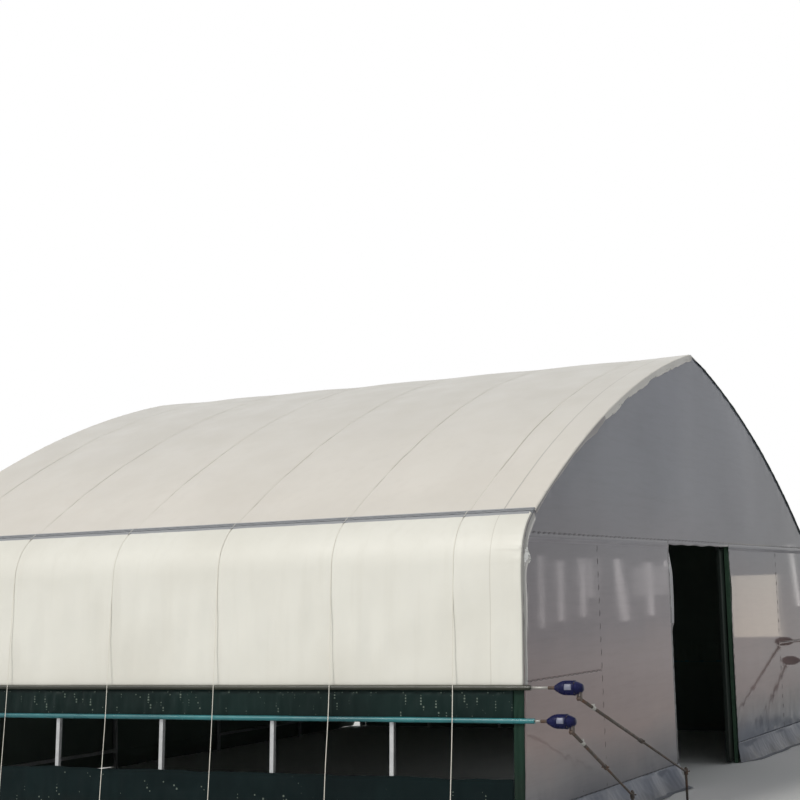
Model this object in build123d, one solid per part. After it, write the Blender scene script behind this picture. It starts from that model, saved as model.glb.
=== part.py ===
from build123d import *
import math
import os

# Arched tunnel greenhouse of film on galvanised hoops, with roll-up sides.
# X runs across the house, Y along it from the door end to the back, and Z up from the ground.
# Every outline is drawn for the right half and mirrored, in millimetres.

# House. The eave stands in from the foot of the hoop, and the gable is divided by posts.
HOUSE_L = 6000.0
BAYS = 6
BAY = HOUSE_L / BAYS
EAVE_Z = 2270.0
RIDGE_Z = 3880.0
ARCH_R = 12100.0
FOOT_HALF = 4360.0
EAVE_IN = 360.0
LEG_LEAN = 3.6
KNEE_R = 450.0

# Box tube, round tube, film, and the clearance between pieces that touch
HOOP_W = 32.0
POST_W = 32.0
GIRT_H = 32.0
PURLIN_D = 26.0
PURLIN_HALF = 2000.0
PURLIN_FLATS = 8
FILM = 3.0
SEAT = 0.3

# Gable
POST_HALF = 2750.0
DOOR_HALF = 937.5
DOOR_HEAD_Z = 2079.0
SEAM_Z = 2116.0
CORNER_RAIL_Z = 1082.0
BASE_RAIL_Z = 190.0
CHANNEL_W = 24.0
CHANNEL_D = 8.0
CHANNEL_WALL = 2.0
CHANNEL_MOUTH = 12.0
FOLD_W = 60.0
SKIRT_REACH = 95.0
SKIRT_TOE = 60.0

# Sides
EAVE_CHANNEL_W = 60.0
EAVE_CHANNEL_D = 10.0
GROOVE_W = 13.0
GROOVE_D = 7.0
GROOVE_PITCH = 30.0
LAP_W = 80.0
BASE_SKIRT_Z = 430.0
FAR_SKIRT_Z = 805.0
ROLL_D = 38.0
ROLL_FLATS = 24
UPPER_ROLL_Z = 1045.0
LOWER_ROLL_Z = 822.0
ROLL_BACK_STUB = 100.0

# Roll drives, measured forwards from the face of the gable
SHAFT_D = 22.0
SHAFT_FLATS = 12
UPPER_ROLL_STUB = 60.0
LOWER_ROLL_STUB = 85.0
UPPER_DRIVE_Y = 236.0
LOWER_DRIVE_Y = 176.0
DRIVE_L = 208.0
DRIVE_D = 98.0
DRIVE_NOSE_D = 36.0
DRIVE_NOSE_L = 72.0
DRIVE_CAP_D = 86.0
DRIVE_CAP_L = 60.0
DRIVE_CAP_ROUND = 44.0
DRIVE_RIB_L = 8.0
DRIVE_RIB_H = 3.0
DRIVE_FLATS = 16
FORK_FROM_END = 32.0
FORK_GAP = 18.0
FORK_T = 5.0
FORK_W = 34.0
FORK_DROP = 30.0
PIN_D = 10.0
PIN_CLEAR = 0.3
PIN_FLATS = 8

# Guide arms and their stakes
ARM_OUTER_D = 26.0
ARM_INNER_D = 18.0
ARM_EYE_D = 30.0
ARM_EYE_T = 16.0
ARM_SPLIT = 0.55
ARM_CLAMP_D = 34.0
ARM_CLAMP_L = 46.0
ARM_FLATS = 8
UPPER_ARM_FOOT_X = 2060.0
UPPER_ARM_FOOT_Z = 250.0
LOWER_ARM_FOOT_X = 3180.0
LOWER_ARM_FOOT_Z = 200.0
STAKE_D = 20.0
STAKE_TOP = 35.0
COLLAR_D = 32.0
COLLAR_H = 50.0

# Press belts and their pegs
BELT_W = 8.0
BELT_T = 1.5
BELT_FOOT = 95.0
BELT_END_Z = 30.0
BELT_CHORDS = 6
BELT_KNEE_CHORDS = 4
PEG_D = 14.0
PEG_TOP = 80.0
PEG_FLATS = 6

# Sliding door
LEAF_W = 1980.0
LEAF_BOTTOM_Z = 25.0
LEAF_TOP_Z = 2062.0
LEAF_MID_Z = 750.0
LEAF_BAR = 25.0
LEAF_LEFT_X = 800.0
TRACK_LEFT_X = -1050.0
TRACK_RIGHT_X = 3000.0
TRACK_W = 48.0
TRACK_H = 36.0
TRACK_WALL = 3.0
TRACK_SLOT = 14.0
WHEEL_D = 24.0
WHEEL_T = 13.0
WHEEL_FLATS = 16
STRAP_W = 40.0
STRAP_T = 6.0
HANGER_INSET = 260.0

# Where things stand along Y. The origin is under the middle of the whole, drives included.
EAVE_HALF = FOOT_HALF - EAVE_IN
GABLE_D = HOOP_W / 2 + SEAT + CHANNEL_D + SEAT + FILM
FRONT_REACH = UPPER_DRIVE_Y + DRIVE_L
BACK_REACH = SKIRT_REACH + SKIRT_TOE
FACE_Y = (FRONT_REACH - BACK_REACH - HOUSE_L) / 2 - GABLE_D
FIRST_HOOP_Y = FACE_Y + GABLE_D
LAST_HOOP_Y = FIRST_HOOP_Y + HOUSE_L
BACK_Y = LAST_HOOP_Y + GABLE_D
CHANNEL_Y = FACE_Y + FILM + SEAT
FRAME_Y = CHANNEL_Y + CHANNEL_D + SEAT

# The two arcs of a hoop: a large one to the ridge and a small one at the knee
LEAN = math.radians(LEG_LEAN)
LEG_UP = (-math.sin(LEAN), math.cos(LEAN))
LEG_OUT = (math.cos(LEAN), math.sin(LEAN))


def arch_centre():
    chord = math.hypot(EAVE_HALF, RIDGE_Z - EAVE_Z)
    mid = (EAVE_HALF / 2, (EAVE_Z + RIDGE_Z) / 2)
    inward = (-(RIDGE_Z - EAVE_Z) / chord, -EAVE_HALF / chord)
    depth = math.sqrt(ARCH_R**2 - (chord / 2) ** 2)
    return (mid[0] + inward[0] * depth, mid[1] + inward[1] * depth)


ARCH_C = arch_centre()


def knee_centre():
    gx = FOOT_HALF - LEG_OUT[0] * KNEE_R - ARCH_C[0]
    gz = -LEG_OUT[1] * KNEE_R - ARCH_C[1]
    along = gx * LEG_UP[0] + gz * LEG_UP[1]
    reach = (ARCH_R - KNEE_R) ** 2 - gx**2 - gz**2
    rise = -along + math.sqrt(along**2 + reach)
    return (gx + ARCH_C[0] + LEG_UP[0] * rise, gz + ARCH_C[1] + LEG_UP[1] * rise)


KNEE_C = knee_centre()
KNEE_UP = math.atan2(KNEE_C[1] - ARCH_C[1], KNEE_C[0] - ARCH_C[0])
KNEE_TURN = KNEE_UP - LEAN


def polar(centre, radius, angle):
    return (centre[0] + radius * math.cos(angle), centre[1] + radius * math.sin(angle))


def leg_x(z, off):
    """X of the leg's outer line, moved outwards by off, at height z."""
    return FOOT_HALF - z * math.tan(LEAN) + off / math.cos(LEAN)


def arch_angle(x, off):
    return math.acos((x - ARCH_C[0]) / (ARCH_R + off))


def arch_z(x, off):
    """Height of the large arc, moved outwards by off, at distance x from the middle."""
    return polar(ARCH_C, ARCH_R + off, arch_angle(x, off))[1]


def outline_x(z, off):
    """X of the hoop's outline, moved outwards by off, at height z: leg, knee or large arc."""
    if z <= polar(KNEE_C, KNEE_R + off, LEAN)[1]:
        return leg_x(z, off)
    if z <= polar(KNEE_C, KNEE_R + off, KNEE_UP)[1]:
        return KNEE_C[0] + math.sqrt((KNEE_R + off) ** 2 - (z - KNEE_C[1]) ** 2)
    return ARCH_C[0] + math.sqrt((ARCH_R + off) ** 2 - (z - ARCH_C[1]) ** 2)


def edges_between(off, low_z):
    """Outline of the right half from the leg at low_z up to the ridge, moved outwards by off."""
    knee_r = KNEE_R + off
    arch_r = ARCH_R + off
    foot = (leg_x(low_z, off), low_z)
    leg_top = polar(KNEE_C, knee_r, LEAN)
    knee_mid = polar(KNEE_C, knee_r, LEAN + KNEE_TURN / 2)
    knee_top = polar(KNEE_C, knee_r, KNEE_UP)
    ridge_up = arch_angle(0, off)
    arch_mid = polar(ARCH_C, arch_r, (KNEE_UP + ridge_up) / 2)
    ridge = polar(ARCH_C, arch_r, ridge_up)
    edges = [
        Line(foot, leg_top),
        ThreePointArc(leg_top, knee_mid, knee_top),
        ThreePointArc(knee_top, arch_mid, ridge),
    ]
    return edges, foot, ridge


def band(off_in, off_out, low_z=0.0):
    """Right half of a sheet of even thickness that follows the hoop."""
    outer, outer_foot, outer_ridge = edges_between(off_out, low_z)
    inner, inner_foot, inner_ridge = edges_between(off_in, low_z)
    ends = [Line(outer_ridge, inner_ridge), Line(inner_foot, outer_foot)]
    return make_face(outer + inner + ends)


def half_gable(off, low_z=0.0):
    """Everything inside the right half of the hoop's outline."""
    curve, foot, ridge = edges_between(off, low_z)
    ends = [Line(ridge, (0, low_z)), Line((0, low_z), foot)]
    return make_face(curve + ends)


def rect(x0, z0, x1, z1):
    return Pos((x0 + x1) / 2, (z0 + z1) / 2) * Rectangle(x1 - x0, z1 - z0)


def stand(outline, y0, depth):
    """Stand an outline drawn in X and Z up, and give it depth from y0 backwards."""
    return Pos(0, y0, 0) * Rot(90, 0, 0) * extrude(outline, -depth)


def block(x0, y0, z0, x1, y1, z1):
    centre = ((x0 + x1) / 2, (y0 + y1) / 2, (z0 + z1) / 2)
    return Pos(*centre) * Box(x1 - x0, y1 - y0, z1 - z0)


def flip(shape):
    return mirror(shape, about=Plane.YZ)


def turn_back(shape):
    """The same piece at the other end of the house."""
    return Pos(0, FIRST_HOOP_Y + LAST_HOOP_Y, 0) * mirror(shape, about=Plane.XZ)


def solids_of(*shapes):
    found = []
    for shape in shapes:
        found += list(shape.solids())
    return found


def write(node, *shapes):
    found = solids_of(*shapes)
    whole = found[0] if len(found) == 1 else Compound(children=found)
    export_step(whole, f"parts/{node}.step")


def rod(start, end, diameter, flats=0):
    """Bar between two points, round or in a number of flats that the diameter goes round."""
    axis = Vector(*end) - Vector(*start)
    plane = Plane(origin=start, z_dir=axis.normalized())
    section = RegularPolygon(diameter / 2, flats) if flats else Circle(diameter / 2)
    return extrude(plane * section, axis.length)


def bore_d(diameter, flats):
    """Diameter round a bore in flats that clears a bar in as many flats all round."""
    return diameter + 2 * PIN_CLEAR / math.cos(math.pi / flats)


# Hoops of box tube: straight legs, then a knee and a large arc that meet at the ridge

def leg():
    leg_r = HOOP_W / 2
    low = (leg_x(-HOOP_W, -leg_r), 0, -HOOP_W)
    top_x, top_z = polar(KNEE_C, KNEE_R - leg_r, LEAN)
    plane = Plane(origin=low, x_dir=(0, 1, 0), z_dir=(LEG_UP[0], 0, LEG_UP[1]))
    bar = extrude(plane * Rectangle(HOOP_W, HOOP_W), math.dist(low, (top_x, 0, top_z)))
    ground = block(0, -HOOP_W, -4 * HOOP_W, FOOT_HALF + HOOP_W, HOOP_W, 0)
    return bar - ground


def arch():
    centre_off = -HOOP_W / 2
    ridge_past = math.atan2(4 * HOOP_W, ARCH_R)
    knee_start = polar(KNEE_C, KNEE_R + centre_off, LEAN)
    arch_start = polar(ARCH_C, ARCH_R + centre_off, KNEE_UP)

    def ring(start, centre, angle):
        plane = Plane(
            origin=(start[0], 0, start[1]),
            x_dir=(0, 1, 0),
            z_dir=(centre[1] - start[1], 0, start[0] - centre[0]),
        )
        hub = Axis((centre[0], 0, centre[1]), (0, -1, 0))
        return revolve(plane * Rectangle(HOOP_W, HOOP_W), hub, math.degrees(angle))

    knee = ring(knee_start, KNEE_C, KNEE_TURN)
    rafter = ring(arch_start, ARCH_C, arch_angle(0, centre_off) - KNEE_UP + ridge_past)
    past_ridge = block(-EAVE_HALF, -HOOP_W, 0, 0, HOOP_W, 2 * RIDGE_Z)
    return knee + (rafter - past_ridge)


def hoop_row(piece):
    return [Pos(0, FIRST_HOOP_Y + i * BAY, 0) * piece for i in range(BAYS + 1)]


def purlin(x):
    """Round tube along the house, under the hoops."""
    off = -HOOP_W - SEAT - PURLIN_D / 2
    start = (x, FIRST_HOOP_Y - HOOP_W / 2, arch_z(x, off))
    plane = Plane(origin=start, x_dir=(1, 0, 0), z_dir=(0, 1, 0))
    section = RegularPolygon(PURLIN_D / 2, PURLIN_FLATS, rotation=180 / PURLIN_FLATS)
    return extrude(plane * section, HOUSE_L + HOOP_W)


# Gable frame: posts up to the hoop, and girts between them at the seam and the corner rails

INSIDE_HOOP = -HOOP_W - SEAT
HALF_INSIDE = half_gable(INSIDE_HOOP)


def post(centre_x):
    strip = rect(centre_x - POST_W / 2, 0, centre_x + POST_W / 2, RIDGE_Z)
    return stand(strip & HALF_INSIDE, FRAME_Y, POST_W)


def girt(x0, x1, z):
    strip = rect(x0, z - GIRT_H / 2, x1, z + GIRT_H / 2)
    return stand(strip & HALF_INSIDE, FRAME_Y, POST_W)


DOOR_POST_X = DOOR_HALF + POST_W / 2
post_out = POST_HALF + POST_W / 2
post_in = POST_HALF - POST_W / 2
door_out = DOOR_POST_X + POST_W / 2

corner_posts = post(POST_HALF)
door_posts = post(DOOR_POST_X)
corner_girt = girt(post_out, FOOT_HALF, SEAM_Z)
corner_rail = girt(post_out, FOOT_HALF, CORNER_RAIL_Z)
side_girt = girt(door_out, post_in, SEAM_Z)
header_z = SEAM_Z - GIRT_H / 2
header = block(-DOOR_HALF, FRAME_Y, header_z, DOOR_HALF, FRAME_Y + POST_W, header_z + GIRT_H)
corner_sill = girt(post_out, FOOT_HALF, BASE_RAIL_Z)
side_sill = girt(door_out, post_in, BASE_RAIL_Z)
half_girts = [corner_girt, corner_rail, side_girt, corner_sill, side_sill]
front_girts = half_girts + [flip(g) for g in half_girts] + [header]


# Lock channels: a lipped groove that the film is pressed into

def channel_section():
    shell = Rectangle(CHANNEL_W, CHANNEL_D)
    hollow = Rectangle(CHANNEL_W - 2 * CHANNEL_WALL, CHANNEL_D - 2 * CHANNEL_WALL)
    mouth = Pos(0, -CHANNEL_D / 2) * Rectangle(CHANNEL_MOUTH, CHANNEL_D)
    return shell - hollow - mouth


def level_channel(x0, x1, z):
    """Channel along X with its mouth to the front."""
    plane = Plane(origin=(x0, CHANNEL_Y + CHANNEL_D / 2, z), x_dir=(0, 0, 1), z_dir=(1, 0, 0))
    return extrude(plane * Rot(0, 0, 180) * channel_section(), x1 - x0)


def upright_channel(x, z0, z1):
    plane = Plane(origin=(x, CHANNEL_Y + CHANNEL_D / 2, z0), x_dir=(1, 0, 0), z_dir=(0, 0, 1))
    return extrude(plane * channel_section(), z1 - z0)


half_channel = CHANNEL_W / 2
seam_end = min(outline_x(SEAM_Z + side * half_channel, -HOOP_W) for side in (-1, 1))
seam_channel = level_channel(-seam_end, seam_end, SEAM_Z)
post_channel = upright_channel(POST_HALF, BASE_RAIL_Z + half_channel, SEAM_Z - half_channel)
door_channel = upright_channel(DOOR_POST_X, BASE_RAIL_Z + half_channel, SEAM_Z - half_channel)
corner_channel = level_channel(
    POST_HALF + half_channel, leg_x(CORNER_RAIL_Z + half_channel, -HOOP_W), CORNER_RAIL_Z
)
base_channel = level_channel(
    DOOR_POST_X - half_channel, leg_x(BASE_RAIL_Z + half_channel, -HOOP_W), BASE_RAIL_Z
)


# Film: the gable in panels, the roof in two halves, the sides from the eave to the rolls

GABLE_RIGHT = half_gable(0)
GABLE_WHOLE = GABLE_RIGHT + mirror(GABLE_RIGHT, about=Plane.YZ)


def gable_panel(x0, z0, x1, z1):
    return stand(rect(x0, z0, x1, z1) & GABLE_WHOLE, FACE_Y, FILM)


panel_foot = BASE_RAIL_Z - half_channel
upper_panel = gable_panel(-FOOT_HALF, DOOR_HEAD_Z, FOOT_HALF, RIDGE_Z)
side_panel = gable_panel(DOOR_HALF, panel_foot, POST_HALF, DOOR_HEAD_Z)
corner_panel = gable_panel(POST_HALF, panel_foot, FOOT_HALF, DOOR_HEAD_Z)
back_panel = turn_back(gable_panel(-FOOT_HALF, panel_foot, FOOT_HALF, RIDGE_Z))

ROOF_IN = SEAT
ROOF_OUT = SEAT + FILM
SIDE_IN = ROOF_OUT + SEAT
SIDE_OUT = SIDE_IN + FILM
EAVE_UP = arch_angle(EAVE_HALF, 0)


def at_eave(outline):
    """Move an outline drawn about the eave, with Y outwards, to its place on the hoop."""
    turn = math.degrees(EAVE_UP) - 90
    return Pos(EAVE_HALF, EAVE_Z) * Rot(0, 0, turn) * outline


eave_gap = EAVE_CHANNEL_W / 2 + SEAT
above_eave = at_eave(rect(-2 * EAVE_HALF, -EAVE_Z, -eave_gap, EAVE_Z))
below_eave = at_eave(rect(eave_gap, -2 * EAVE_HALF, 2 * EAVE_HALF, EAVE_Z))
ROOF_L = BACK_Y - FACE_Y + 2 * (FILM + SEAT)


def side_sheet(off_in, off_out, low_z, y0, depth):
    return stand(band(off_in, off_out, low_z) & below_eave, y0, depth)


roof_half = stand(band(ROOF_IN, ROOF_OUT) & above_eave, FACE_Y - FILM - SEAT, ROOF_L)
side_film = side_sheet(SIDE_IN, SIDE_OUT, UPPER_ROLL_Z, FACE_Y, BACK_Y - FACE_Y)
lap_y = FACE_Y + LAP_W
inner_l = BACK_Y - FACE_Y - 2 * (LAP_W + SEAT)
inner_curtain = side_sheet(ROOF_IN, ROOF_OUT, LOWER_ROLL_Z, lap_y + SEAT, inner_l)
corner_lap = side_sheet(ROOF_IN, ROOF_OUT, 0, FACE_Y, LAP_W)


def base_skirt(top_z):
    low = rect(0, 0, FOOT_HALF + KNEE_R, top_z)
    return stand(band(ROOF_IN, ROOF_OUT) & low, lap_y + SEAT, inner_l)


fold_half = stand(band(-FOLD_W, ROOF_OUT) & above_eave, FACE_Y - FILM - SEAT, FILM)
fold_half = fold_half - roof_half


def ground_skirt(x0, x1):
    """Film that leaves the base channel, flares out and lies on the ground."""
    top = (FACE_Y - SEAT, BASE_RAIL_Z)
    toe = (FACE_Y - SKIRT_REACH, FILM)
    end = (FACE_Y - SKIRT_REACH - SKIRT_TOE, FILM)
    points = [
        top,
        (top[0] - FILM, top[1]),
        toe,
        end,
        (end[0], 0),
        (toe[0] + FILM / 2, 0),
        (top[0], BASE_RAIL_Z - 4 * FILM),
    ]
    outline = make_face(Polyline(*points, close=True))
    side_on = Plane(origin=(x0, 0, 0), x_dir=(0, 1, 0), z_dir=(1, 0, 0))
    return extrude(side_on * outline, x1 - x0)


skirt_end = leg_x(BASE_RAIL_Z, 0)
side_ground_skirt = ground_skirt(DOOR_HALF, skirt_end)
back_ground_skirt = turn_back(ground_skirt(-skirt_end, skirt_end))


def eave_channel():
    body = rect(-EAVE_CHANNEL_W / 2, SEAT, EAVE_CHANNEL_W / 2, SEAT + EAVE_CHANNEL_D)
    floor = SEAT + EAVE_CHANNEL_D - GROOVE_D
    for side in (-1, 1):
        groove_x = side * GROOVE_PITCH / 2
        body -= rect(groove_x - GROOVE_W / 2, floor, groove_x + GROOVE_W / 2, floor + 2 * GROOVE_D)
    return stand(at_eave(body), FACE_Y, BACK_Y - FACE_Y)


# Rolls: the film wound on a tube, and the shaft on to the drive

def roll(z, off_in, stub, drive_y):
    x = leg_x(z, off_in + SEAT + ROLL_D / 2)
    front = FACE_Y - stub
    wound = rod((x, front, z), (x, BACK_Y + ROLL_BACK_STUB, z), ROLL_D, ROLL_FLATS)
    shaft = rod((x, FACE_Y - drive_y, z), (x, front, z), SHAFT_D, SHAFT_FLATS)
    return wound + shaft, x


upper_roll, upper_x = roll(UPPER_ROLL_Z, SIDE_OUT, UPPER_ROLL_STUB, UPPER_DRIVE_Y)
lower_roll, lower_x = roll(LOWER_ROLL_Z, ROOF_OUT, LOWER_ROLL_STUB, LOWER_DRIVE_Y)


# Drives: a barrel with a long nose on the shaft, a ribbed end cap, and a fork below for the arm

def turned(x, back, z, profile):
    """Solid of a lathe profile along Y, given as reaches and radii, in flats instead of round."""
    turns = [2 * math.pi * i / DRIVE_FLATS for i in range(DRIVE_FLATS)]
    rings = []
    for reach, radius in profile:
        rings.append([(x + radius * math.cos(a), back - reach, z + radius * math.sin(a)) for a in turns])
    outlines = [rings[0], rings[-1]]
    for near, far in zip(rings, rings[1:]):
        outlines += [[near[i - 1], near[i], far[i], far[i - 1]] for i in range(DRIVE_FLATS)]
    return Solid(Shell([make_face(Polyline(*corners, close=True)).face() for corners in outlines]))


def drive(x, z, drive_y):
    back = FACE_Y - drive_y
    r = DRIVE_D / 2
    cap_r = DRIVE_CAP_D / 2
    nose_r = DRIVE_NOSE_D / 2
    cap_at = DRIVE_L - DRIVE_CAP_L
    round_at = DRIVE_L - DRIVE_CAP_ROUND
    bend = math.sin(math.pi / 4)
    profile = [
        (0, nose_r),
        (DRIVE_NOSE_L * (1 - bend), nose_r + (r - nose_r) * bend),
        (DRIVE_NOSE_L, r),
        (cap_at - DRIVE_RIB_L, r),
        (cap_at - DRIVE_RIB_L, r + DRIVE_RIB_H),
        (cap_at, r + DRIVE_RIB_H),
        (cap_at, cap_r),
        (round_at, cap_r),
        (round_at + DRIVE_CAP_ROUND * bend, nose_r + (cap_r - nose_r) * bend),
        (DRIVE_L, nose_r),
    ]
    housing = turned(x, back, z, profile)

    fork_y = back - DRIVE_L + FORK_FROM_END
    pin_z = z - r - FORK_DROP + FORK_W / 4
    low_z = pin_z - FORK_W / 4
    pin_end = FORK_GAP / 2 + FORK_T
    slot_y = fork_y - FORK_GAP / 2
    fork = block(x - FORK_W / 2, fork_y - pin_end, low_z, x + FORK_W / 2, fork_y + pin_end, z)
    slot = block(x - FORK_W, slot_y, low_z - FORK_W, x + FORK_W, slot_y + FORK_GAP, z - nose_r)
    pin = rod((x, fork_y - pin_end, pin_z), (x, fork_y + pin_end, pin_z), PIN_D, PIN_FLATS)
    return housing + (fork - slot) + pin, (x, fork_y, pin_z)


upper_drive, upper_pin = drive(upper_x, UPPER_ROLL_Z, UPPER_DRIVE_Y)
lower_drive, lower_pin = drive(lower_x, LOWER_ROLL_Z, LOWER_DRIVE_Y)


# Guide arms: a rod that slides in a tube, an eye on the drive's pin and a collar on the stake

def guide_arm(pin, foot_x, foot_z):
    x, y, z = pin
    foot = (foot_x, y, foot_z)
    joint = (x + (foot_x - x) * ARM_SPLIT, y, z + (foot_z - z) * ARM_SPLIT)
    length = math.dist(pin, joint)
    clamp_from = tuple(b + (a - b) * ARM_CLAMP_L / length for a, b in zip(pin, joint))
    outer = rod(pin, joint, ARM_OUTER_D, ARM_FLATS)
    inner = rod(joint, foot, ARM_INNER_D, ARM_FLATS)
    clamp = rod(clamp_from, joint, ARM_CLAMP_D, ARM_FLATS)

    eye_from = (x, y - ARM_EYE_T / 2, z)
    eye_to = (x, y + ARM_EYE_T / 2, z)
    eye = rod(eye_from, eye_to, ARM_EYE_D, ARM_FLATS)
    bore = rod(eye_from, eye_to, bore_d(PIN_D, PIN_FLATS), PIN_FLATS)
    reach = 2 * ARM_OUTER_D
    near_eye = block(x - reach, y - reach, z - reach, x + reach, y + reach, z + reach)
    between_cheeks = block(x - reach, eye_from[1], z - reach, x + reach, eye_to[1], z + reach)

    low = (foot_x, y, foot_z - COLLAR_H / 2)
    high = (foot_x, y, foot_z + COLLAR_H / 2)
    collar = rod(low, high, COLLAR_D, ARM_FLATS)
    hole = rod(low, high, bore_d(STAKE_D, PIN_FLATS), PIN_FLATS)
    return (outer - (near_eye - between_cheeks)) + clamp + inner + eye + collar - bore - hole


def stake(pin, foot_x, foot_z):
    return rod((foot_x, pin[1], 0), (foot_x, pin[1], foot_z + STAKE_TOP), STAKE_D, PIN_FLATS)


upper_arm = guide_arm(upper_pin, UPPER_ARM_FOOT_X, UPPER_ARM_FOOT_Z)
lower_arm = guide_arm(lower_pin, LOWER_ARM_FOOT_X, LOWER_ARM_FOOT_Z)
upper_stake = stake(upper_pin, UPPER_ARM_FOOT_X, UPPER_ARM_FOOT_Z)
lower_stake = stake(lower_pin, LOWER_ARM_FOOT_X, LOWER_ARM_FOOT_Z)


# Press belts: flat belts over the roof in each bay, tied to pegs outside the rolls

def belt_line(off):
    """Chords from the ridge over the eave channel and round the knee to the foot of a belt."""
    ridge_up = arch_angle(0, off)
    channel_edge = (EAVE_CHANNEL_W / 2 + SEAT) / ARCH_R
    step = (ridge_up - EAVE_UP - channel_edge) / BELT_CHORDS
    roof_turns = [ridge_up - i * step for i in range(BELT_CHORDS + 1)]
    roof_turns.append(EAVE_UP - channel_edge)
    knee_turns = [KNEE_UP - i * KNEE_TURN / BELT_KNEE_CHORDS for i in range(BELT_KNEE_CHORDS + 1)]
    roof = [polar(ARCH_C, ARCH_R + off, a) for a in roof_turns]
    knee = [polar(KNEE_C, KNEE_R + off, a) for a in knee_turns]
    return roof + knee


def press_belts():
    inner = SEAT + EAVE_CHANNEL_D + SEAT
    outer = inner + BELT_T
    over = belt_line(outer) + [(leg_x(BELT_END_Z, BELT_FOOT + BELT_T), BELT_END_Z)]
    under = belt_line(inner) + [(leg_x(BELT_END_Z, BELT_FOOT), BELT_END_Z)]
    half = make_face(Polyline(*over, *reversed(under), close=True))
    belt = stand(half + mirror(half, about=Plane.YZ), 0, BELT_W)
    places = [FIRST_HOOP_Y + (i + 0.5) * BAY for i in range(BAYS)]
    belts = [Pos(0, y - BELT_W / 2, 0) * belt for y in places]
    peg_x = leg_x(BELT_END_Z, BELT_FOOT + BELT_T + SEAT) + PEG_D / 2
    pegs = [rod((peg_x, y, 0), (peg_x, y, PEG_TOP), PEG_D, PEG_FLATS) for y in places]
    return belts, pegs


belts, pegs = press_belts()


# Sliding door: a film-covered frame hung from wheels in a rail behind the gable posts

TRACK_Y = FRAME_Y + POST_W + SEAT
LEAF_Y = TRACK_Y + TRACK_W / 2
TRACK_Z = SEAM_Z - GIRT_H / 2


def door_track():
    shell = rect(-TRACK_W / 2, 0, TRACK_W / 2, TRACK_H)
    inside = rect(-TRACK_W / 2 + TRACK_WALL, TRACK_WALL, TRACK_W / 2 - TRACK_WALL, TRACK_H - TRACK_WALL)
    slot = rect(-TRACK_SLOT / 2, -TRACK_WALL, TRACK_SLOT / 2, 2 * TRACK_WALL)
    end_on = Plane(origin=(TRACK_LEFT_X, LEAF_Y, TRACK_Z), x_dir=(0, 1, 0), z_dir=(1, 0, 0))
    return extrude(end_on * (shell - inside - slot), TRACK_RIGHT_X - TRACK_LEFT_X)


def leaf_frame():
    y0 = LEAF_Y - LEAF_BAR / 2
    y1 = LEAF_Y + LEAF_BAR / 2
    right = LEAF_LEFT_X + LEAF_W
    frame = block(LEAF_LEFT_X, y0, LEAF_BOTTOM_Z, right, y1, LEAF_TOP_Z)
    gaps = [(LEAF_BOTTOM_Z + LEAF_BAR, LEAF_MID_Z), (LEAF_MID_Z + LEAF_BAR, LEAF_TOP_Z - LEAF_BAR)]
    for low, high in gaps:
        frame -= block(LEAF_LEFT_X + LEAF_BAR, y0, low, right - LEAF_BAR, y1, high)
    return frame


def leaf_film():
    y1 = LEAF_Y - LEAF_BAR / 2 - SEAT
    return block(LEAF_LEFT_X, y1 - FILM, LEAF_BOTTOM_Z, LEAF_LEFT_X + LEAF_W, y1, LEAF_TOP_Z)


def hanger(x):
    axle_z = TRACK_Z + TRACK_WALL + SEAT + WHEEL_D / 2
    strap = block(
        x - STRAP_W / 2, LEAF_Y - STRAP_T / 2, LEAF_TOP_Z, x + STRAP_W / 2, LEAF_Y + STRAP_T / 2, axle_z
    )
    wheel_reach = STRAP_T / 2 + WHEEL_T
    ends = [(x, LEAF_Y + side * wheel_reach, axle_z) for side in (-1, 1)]
    wheel = rod(ends[0], ends[1], WHEEL_D, WHEEL_FLATS)
    return strap + wheel


hangers = [hanger(LEAF_LEFT_X + HANGER_INSET), hanger(LEAF_LEFT_X + LEAF_W - HANGER_INSET)]


# Write one file for each node

os.makedirs("parts", exist_ok=True)

one_leg = leg()
one_arch = arch()
write("legs_right", *hoop_row(one_leg))
write("legs_left", *hoop_row(flip(one_leg)))
write("arches_right", *hoop_row(one_arch))
write("arches_left", *hoop_row(flip(one_arch)))
write("purlins", purlin(0), purlin(PURLIN_HALF), flip(purlin(PURLIN_HALF)))
write("front_posts", corner_posts, door_posts, flip(corner_posts), flip(door_posts))
write("front_girts", *front_girts)
back_posts = [turn_back(p) for p in (corner_posts, door_posts)]
write("back_posts", *back_posts, *[flip(p) for p in back_posts])
write("back_girts", *[turn_back(g) for g in front_girts])

write("front_upper_film", upper_panel)
write("front_right_film", side_panel)
write("front_left_film", flip(side_panel))
write("front_corner_film_right", corner_panel)
write("front_corner_film_left", flip(corner_panel))
write("back_film", back_panel)
write("roof_film_right", roof_half)
write("roof_film_left", flip(roof_half))
folds = [fold_half, turn_back(fold_half)]
write("roof_film_folds", *folds, *[flip(f) for f in folds])
write("side_film_right", side_film)
write("side_film_left", flip(side_film))
write("inner_curtain_right", inner_curtain)
write("inner_curtain_left", flip(inner_curtain))
write("base_skirts", base_skirt(FAR_SKIRT_Z), flip(base_skirt(BASE_SKIRT_Z)))
laps = [corner_lap, turn_back(corner_lap)]
write("corner_laps", *laps, *[flip(s) for s in laps])
write("ground_skirts", side_ground_skirt, flip(side_ground_skirt), back_ground_skirt)

write("eave_channel_right", eave_channel())
write("eave_channel_left", flip(eave_channel()))
side_channels = [post_channel, door_channel, corner_channel, base_channel]
front_channels = [seam_channel] + side_channels + [flip(c) for c in side_channels]
write("front_channels", *front_channels)
back_channels = [seam_channel, post_channel, flip(post_channel)]
write("back_channels", *[turn_back(c) for c in back_channels])

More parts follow.
